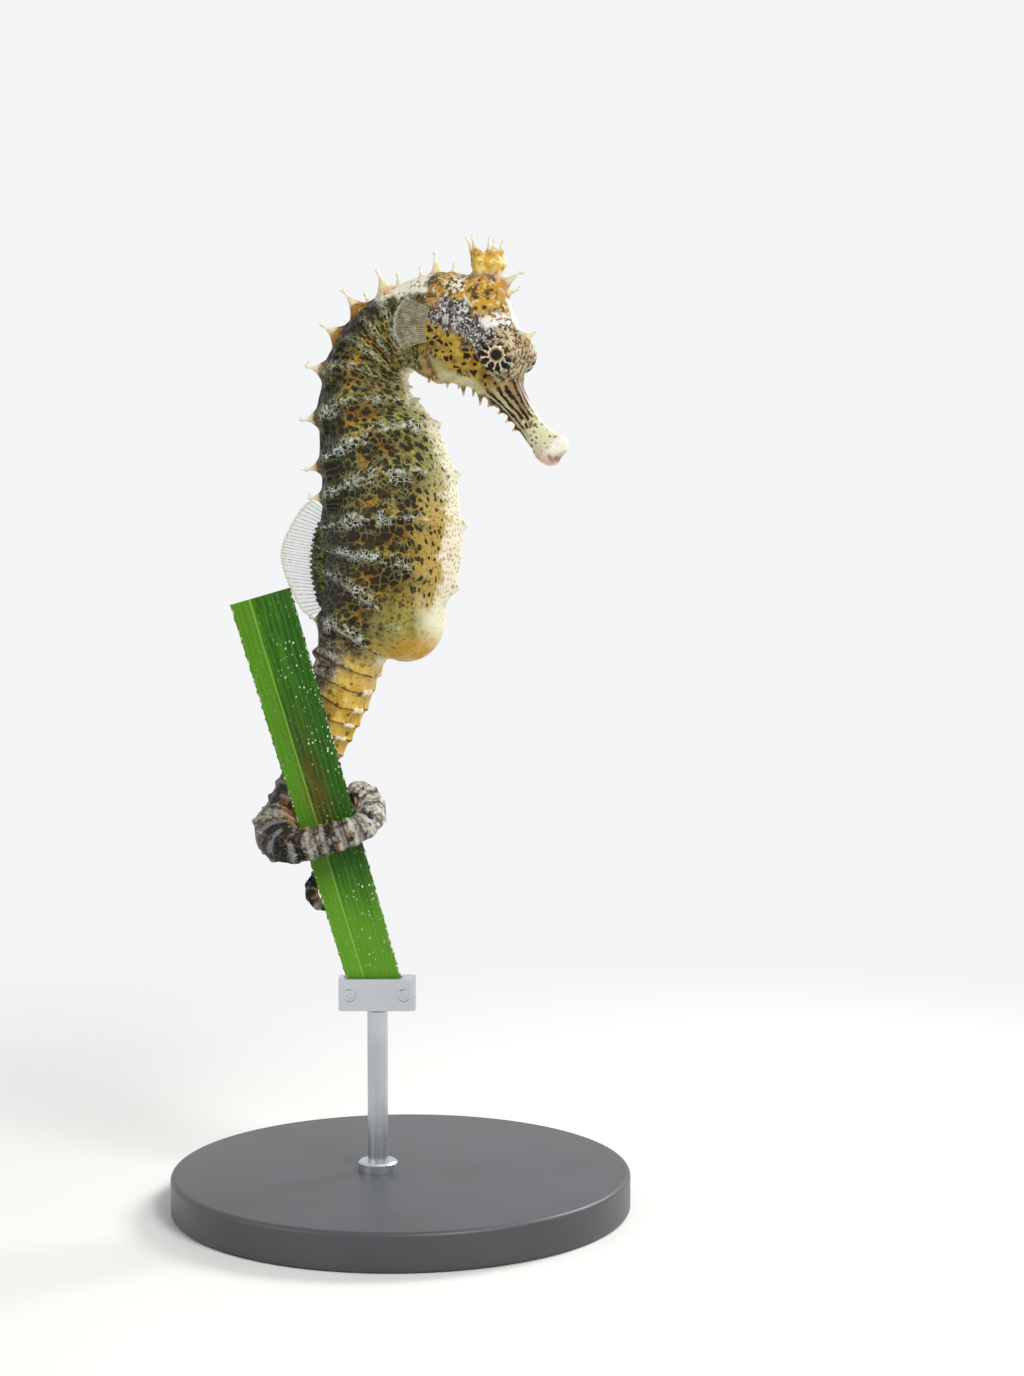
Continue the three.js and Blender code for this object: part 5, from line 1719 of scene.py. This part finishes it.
def blade_material():
    """Deep green with long veins and white specks, and painted light, shade, shadow and a highlight
    on it.
    """
    g = Graph(bpy.data.materials.new("seagrass"))
    place = g.place()
    across, down = map(g.attribute, ("across", "down"))
    streak = g.noise(g.join(across * 9.0, down * 0.14, 0.0), 1.1, 4.0)
    wide_streak = g.noise(g.join(across * 2.5, down * 0.05, 3.0), 1.0)
    leaf = g.mix(streak.band(0.35, 0.65), 0x1F4C06, 0x37700C)
    margin = across + (wide_streak - 0.5) * 0.5
    # Painted light along the left margin, and painted shade over the right side.
    leaf = g.mix(margin.band(-0.28, -0.42) * 0.6, leaf, 0x5E921A)
    leaf = g.mix(margin.band(0.15, 0.6) * 0.6, leaf, 0x1D4A0C)
    # Painted light low down on the blade, below the animal's shade.
    low = (down + wide_streak * 10.0).band(22.0, 34.0)
    leaf = g.mix(low * 0.75, leaf, 0x5F9A22)
    # Painted shade over the middle of the blade, and in brown a painted shadow of the tail.
    shade = down.window(-6.0, 11.0, 7.0) * margin.window(-0.35, 0.35, 0.25)
    leaf = g.mix(shade * 0.75, leaf, 0x3A3A0E)
    tail_shadow = down.window(2.0, 11.0, 4.0) * across.window(-0.45, 0.3, 0.2) * streak.band(0.42, 0.58)
    leaf = g.mix(tail_shadow * 0.7, leaf, 0x6B4A12)
    vein = (across * (math.pi * BLADE["veins"])).cosine().band(0.75, 1.0)
    leaf = g.mix(vein * 0.16, leaf, 0x7CB02E)
    # A painted highlight along a fold line; the blade's mesh has no fold.
    fold = abs(across - -0.36).band(0.05, 0.0)
    leaf = g.mix(fold * 0.5, leaf, 0x9CC84E)
    dusty = g.noise(place, 0.16, 2.0).band(0.44, 0.6) * across.band(-0.3, 0.3)
    long = g.vector("MULTIPLY", place, (1.0, 1.0, 0.7))
    specks = g.spots(long, 1.9, 0.08, 0.8, 1.0) * (0.15 + dusty)
    edge = abs(across).band(0.94, 0.99)
    specks = g.most(specks, edge * g.noise(place, 1.6, 2.0).band(0.52, 0.6))
    leaf = g.mix(specks, leaf, 0xDDE6C8)
    g.set(Base_Color=leaf, Roughness=streak.band(0.3, 0.7, 0.3, 0.46))
    g.set(Specular_IOR_Level=0.2, Subsurface_Weight=0.08, Subsurface_Scale=0.0008)
    g.set(Normal=g.bump(streak + specks * 2.0, 0.1 * MM, 0.6))
    return g.owner


# ---------------------------------------------------------------- stand
def turned(name, profile, centre, around=128):
    """A body of revolution about an upright line; flat faces stay flat and round ones smooth."""
    turns = np.arange(around) * 2 * math.pi / around
    points = [(centre[0] + r * math.cos(t), centre[1] + r * math.sin(t), z)
              for r, z in profile for t in turns]
    made = mesh_object(name, points, tube_faces(len(profile), around))
    made.data.set_sharp_from_angle(angle=math.radians(35))
    return made


def satin_material(name, colour, rough, metal, grain):
    """Plain plastic or metal, finely brushed along the longest part of its grain."""
    g = Graph(bpy.data.materials.new(name))
    place = g.place()
    brushed = g.noise(g.vector("MULTIPLY", place, grain), 1.0, 4.0)
    cloud = g.noise(place, 0.06)
    brighter = tuple(part * 1.25 for part in linear(colour))
    g.set(Base_Color=g.mix(cloud.band(0.3, 0.7), colour, brighter))
    g.set(Metallic=metal, Roughness=brushed.band(0.25, 0.75, rough - 0.06, rough + 0.08))
    g.set(Normal=g.bump(brushed, 0.02 * MM, 0.25))
    return g.owner


def node_box(node):
    """The two far corners of a solid, in millimetres."""
    return [np.array(corner) * 1000 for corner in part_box(node)]


def clamp_screws(material):
    """Two small round-headed screws on the front of the clamp, with plain round sockets."""
    low, high = node_box("stand_clamp")
    head = [(0.95, 0.01), (0.95, 0.3), (0.85, 0.42), (0.48, 0.42), (0.48, 0.16)]
    for name, offset in (("left", -CLAMP["screws"]), ("right", CLAMP["screws"])):
        at = (low + high) / 2 + RIGHTWARD * offset + OUTWARD * CLAMP["deep"] / 2
        screw = turned("clamp_screw_" + name, head, (0, 0), 40)
        for vertex in screw.data.vertices:
            x, y, z = vertex.co
            vertex.co = at * MM + RIGHTWARD * x + UPWARD * y + OUTWARD * z
        dress(screw, material, "stand_metal")


def stand():
    """A round base, a short rod and a small clamp on the foot of the blade."""
    dark = satin_material("stand_satin", 0x3B3D40, 0.42, 0.0, (6.0, 6.0, 6.0))
    steel = satin_material("stand_steel", 0xB4B7BB, 0.3, 1.0, (1.5, 1.5, 14.0))
    radius, height, bevel = BASE["radius"], BASE["height"], BASE["bevel"]
    turns = np.radians(np.linspace(0, 90, 9))
    rounded = [(radius - bevel * (1 - math.cos(t)), height - bevel * (1 - math.sin(t)))
               for t in turns]
    profile = [(radius - 0.6, 0), (radius - 0.3, 0.1), (radius, 0.5)] + rounded
    dress(turned("base_disc", profile, (0, 0)), dark, "stand_base", "stand_base")
    low, high = node_box("stand_rod")
    centre = (low + high) / 2
    radius = ROD["radius"]
    profile = [(radius - 0.15, low[2]), (radius, low[2] + 0.15), (radius, high[2])]
    dress(turned("rod", profile, centre, 64), steel, "stand_metal", "stand_rod")
    profile = [(3.1, height + 0.02), (3.1, height + 1.3), (2.8, height + 1.6),
               (radius + 0.02, height + 1.6)]
    dress(turned("rod_collar", profile, centre, 64), steel, "stand_metal")
    clamp_screws(steel)
    for holder in bpy.data.objects["stand_clamp"].material_slots:
        holder.material = steel


# ---------------------------------------------------------------- floor, light and camera
def floor_material():
    """Pale floor that keeps the shadow near the base and runs into the white backdrop."""
    g = Graph(bpy.data.materials.new("floor_pale"))
    place = g.place()
    g.set(Base_Color=g.mix(g.noise(place, 0.01, 2.0), 0xEDEDEA, 0xF4F4F1), Roughness=0.6)
    x, y, _ = g.split(place)
    away = (x * x + y * y).sqrt()
    g.cover("Emission", BACKDROP, away.band(*FLOOR_FADE) * g.seen_rays())
    return g.owner


def stage():
    """The floor, a soft white world seen as the backdrop, and three lamps."""
    corners = [(-FLOOR, -FLOOR), (FLOOR, -FLOOR), (FLOOR, FLOOR), (-FLOOR, FLOOR)]
    floor = mesh_object("floor", [(x, y, -0.02) for x, y in corners], [(0, 1, 2, 3)])
    floor.data.materials.append(floor_material())
    world = bpy.data.worlds.new("studio")
    bpy.context.scene.world = world
    sky = Graph(world, "Background", "OutputWorld")
    sky.set(Color=(1, 1, 1), Strength=WORLD_LIGHT)
    sky.cover("Background", BACKDROP, sky.seen_rays())
    for name, place, size, power in LAMPS:
        light = bpy.data.lights.new(name, "AREA")
        light.size = size * MM
        light.energy = power
        lamp = linked(name, light)
        lamp.location = Vector(place) * MM
        aim = Vector(LAMP_AIM) * MM - lamp.location
        lamp.rotation_euler = aim.to_track_quat("-Z", "Y").to_euler()


def camera():
    """A long lens, a little above the height of the animal's middle."""
    a, e = math.radians(VIEW["azimuth"]), math.radians(VIEW["elevation"])
    back = np.array([math.sin(a) * math.cos(e), -math.cos(a) * math.cos(e), math.sin(e)])
    target = np.array([math.cos(a), math.sin(a), 0]) * VIEW["aside"] + UPWARD * VIEW["height"]
    data = bpy.data.cameras.new("camera")
    data.lens = VIEW["lens"]
    data.sensor_width = 36
    data.clip_start = 0.01
    data.clip_end = 20
    made = linked("camera", data)
    made.location = Vector(target + back * VIEW["distance"]) * MM
    made.rotation_euler = Vector(-back).to_track_quat("-Z", "Y").to_euler()
    bpy.context.scene.camera = made


skin = make_skin()
skin_places(skin)
dress(skin, skin_material(), "skin", *FLESH)
eye_look = eye_material()
side_fin_look = membrane_material("side_fin_membrane", 0x8A8060, 0xBDB9A2, 0xDAD8C8, 0.34)
side_ray_look = ray_material("side_fin_ray", 0x9E967A)
for side in SIDE_NAMES:
    eyeball(side, eye_look)
    side_fin(side, side_fin_look, side_ray_look)
fringes()
back_fin()
blade_piece()
stand()
stage()
camera()
bpy.context.scene.view_settings.view_transform = "Standard"
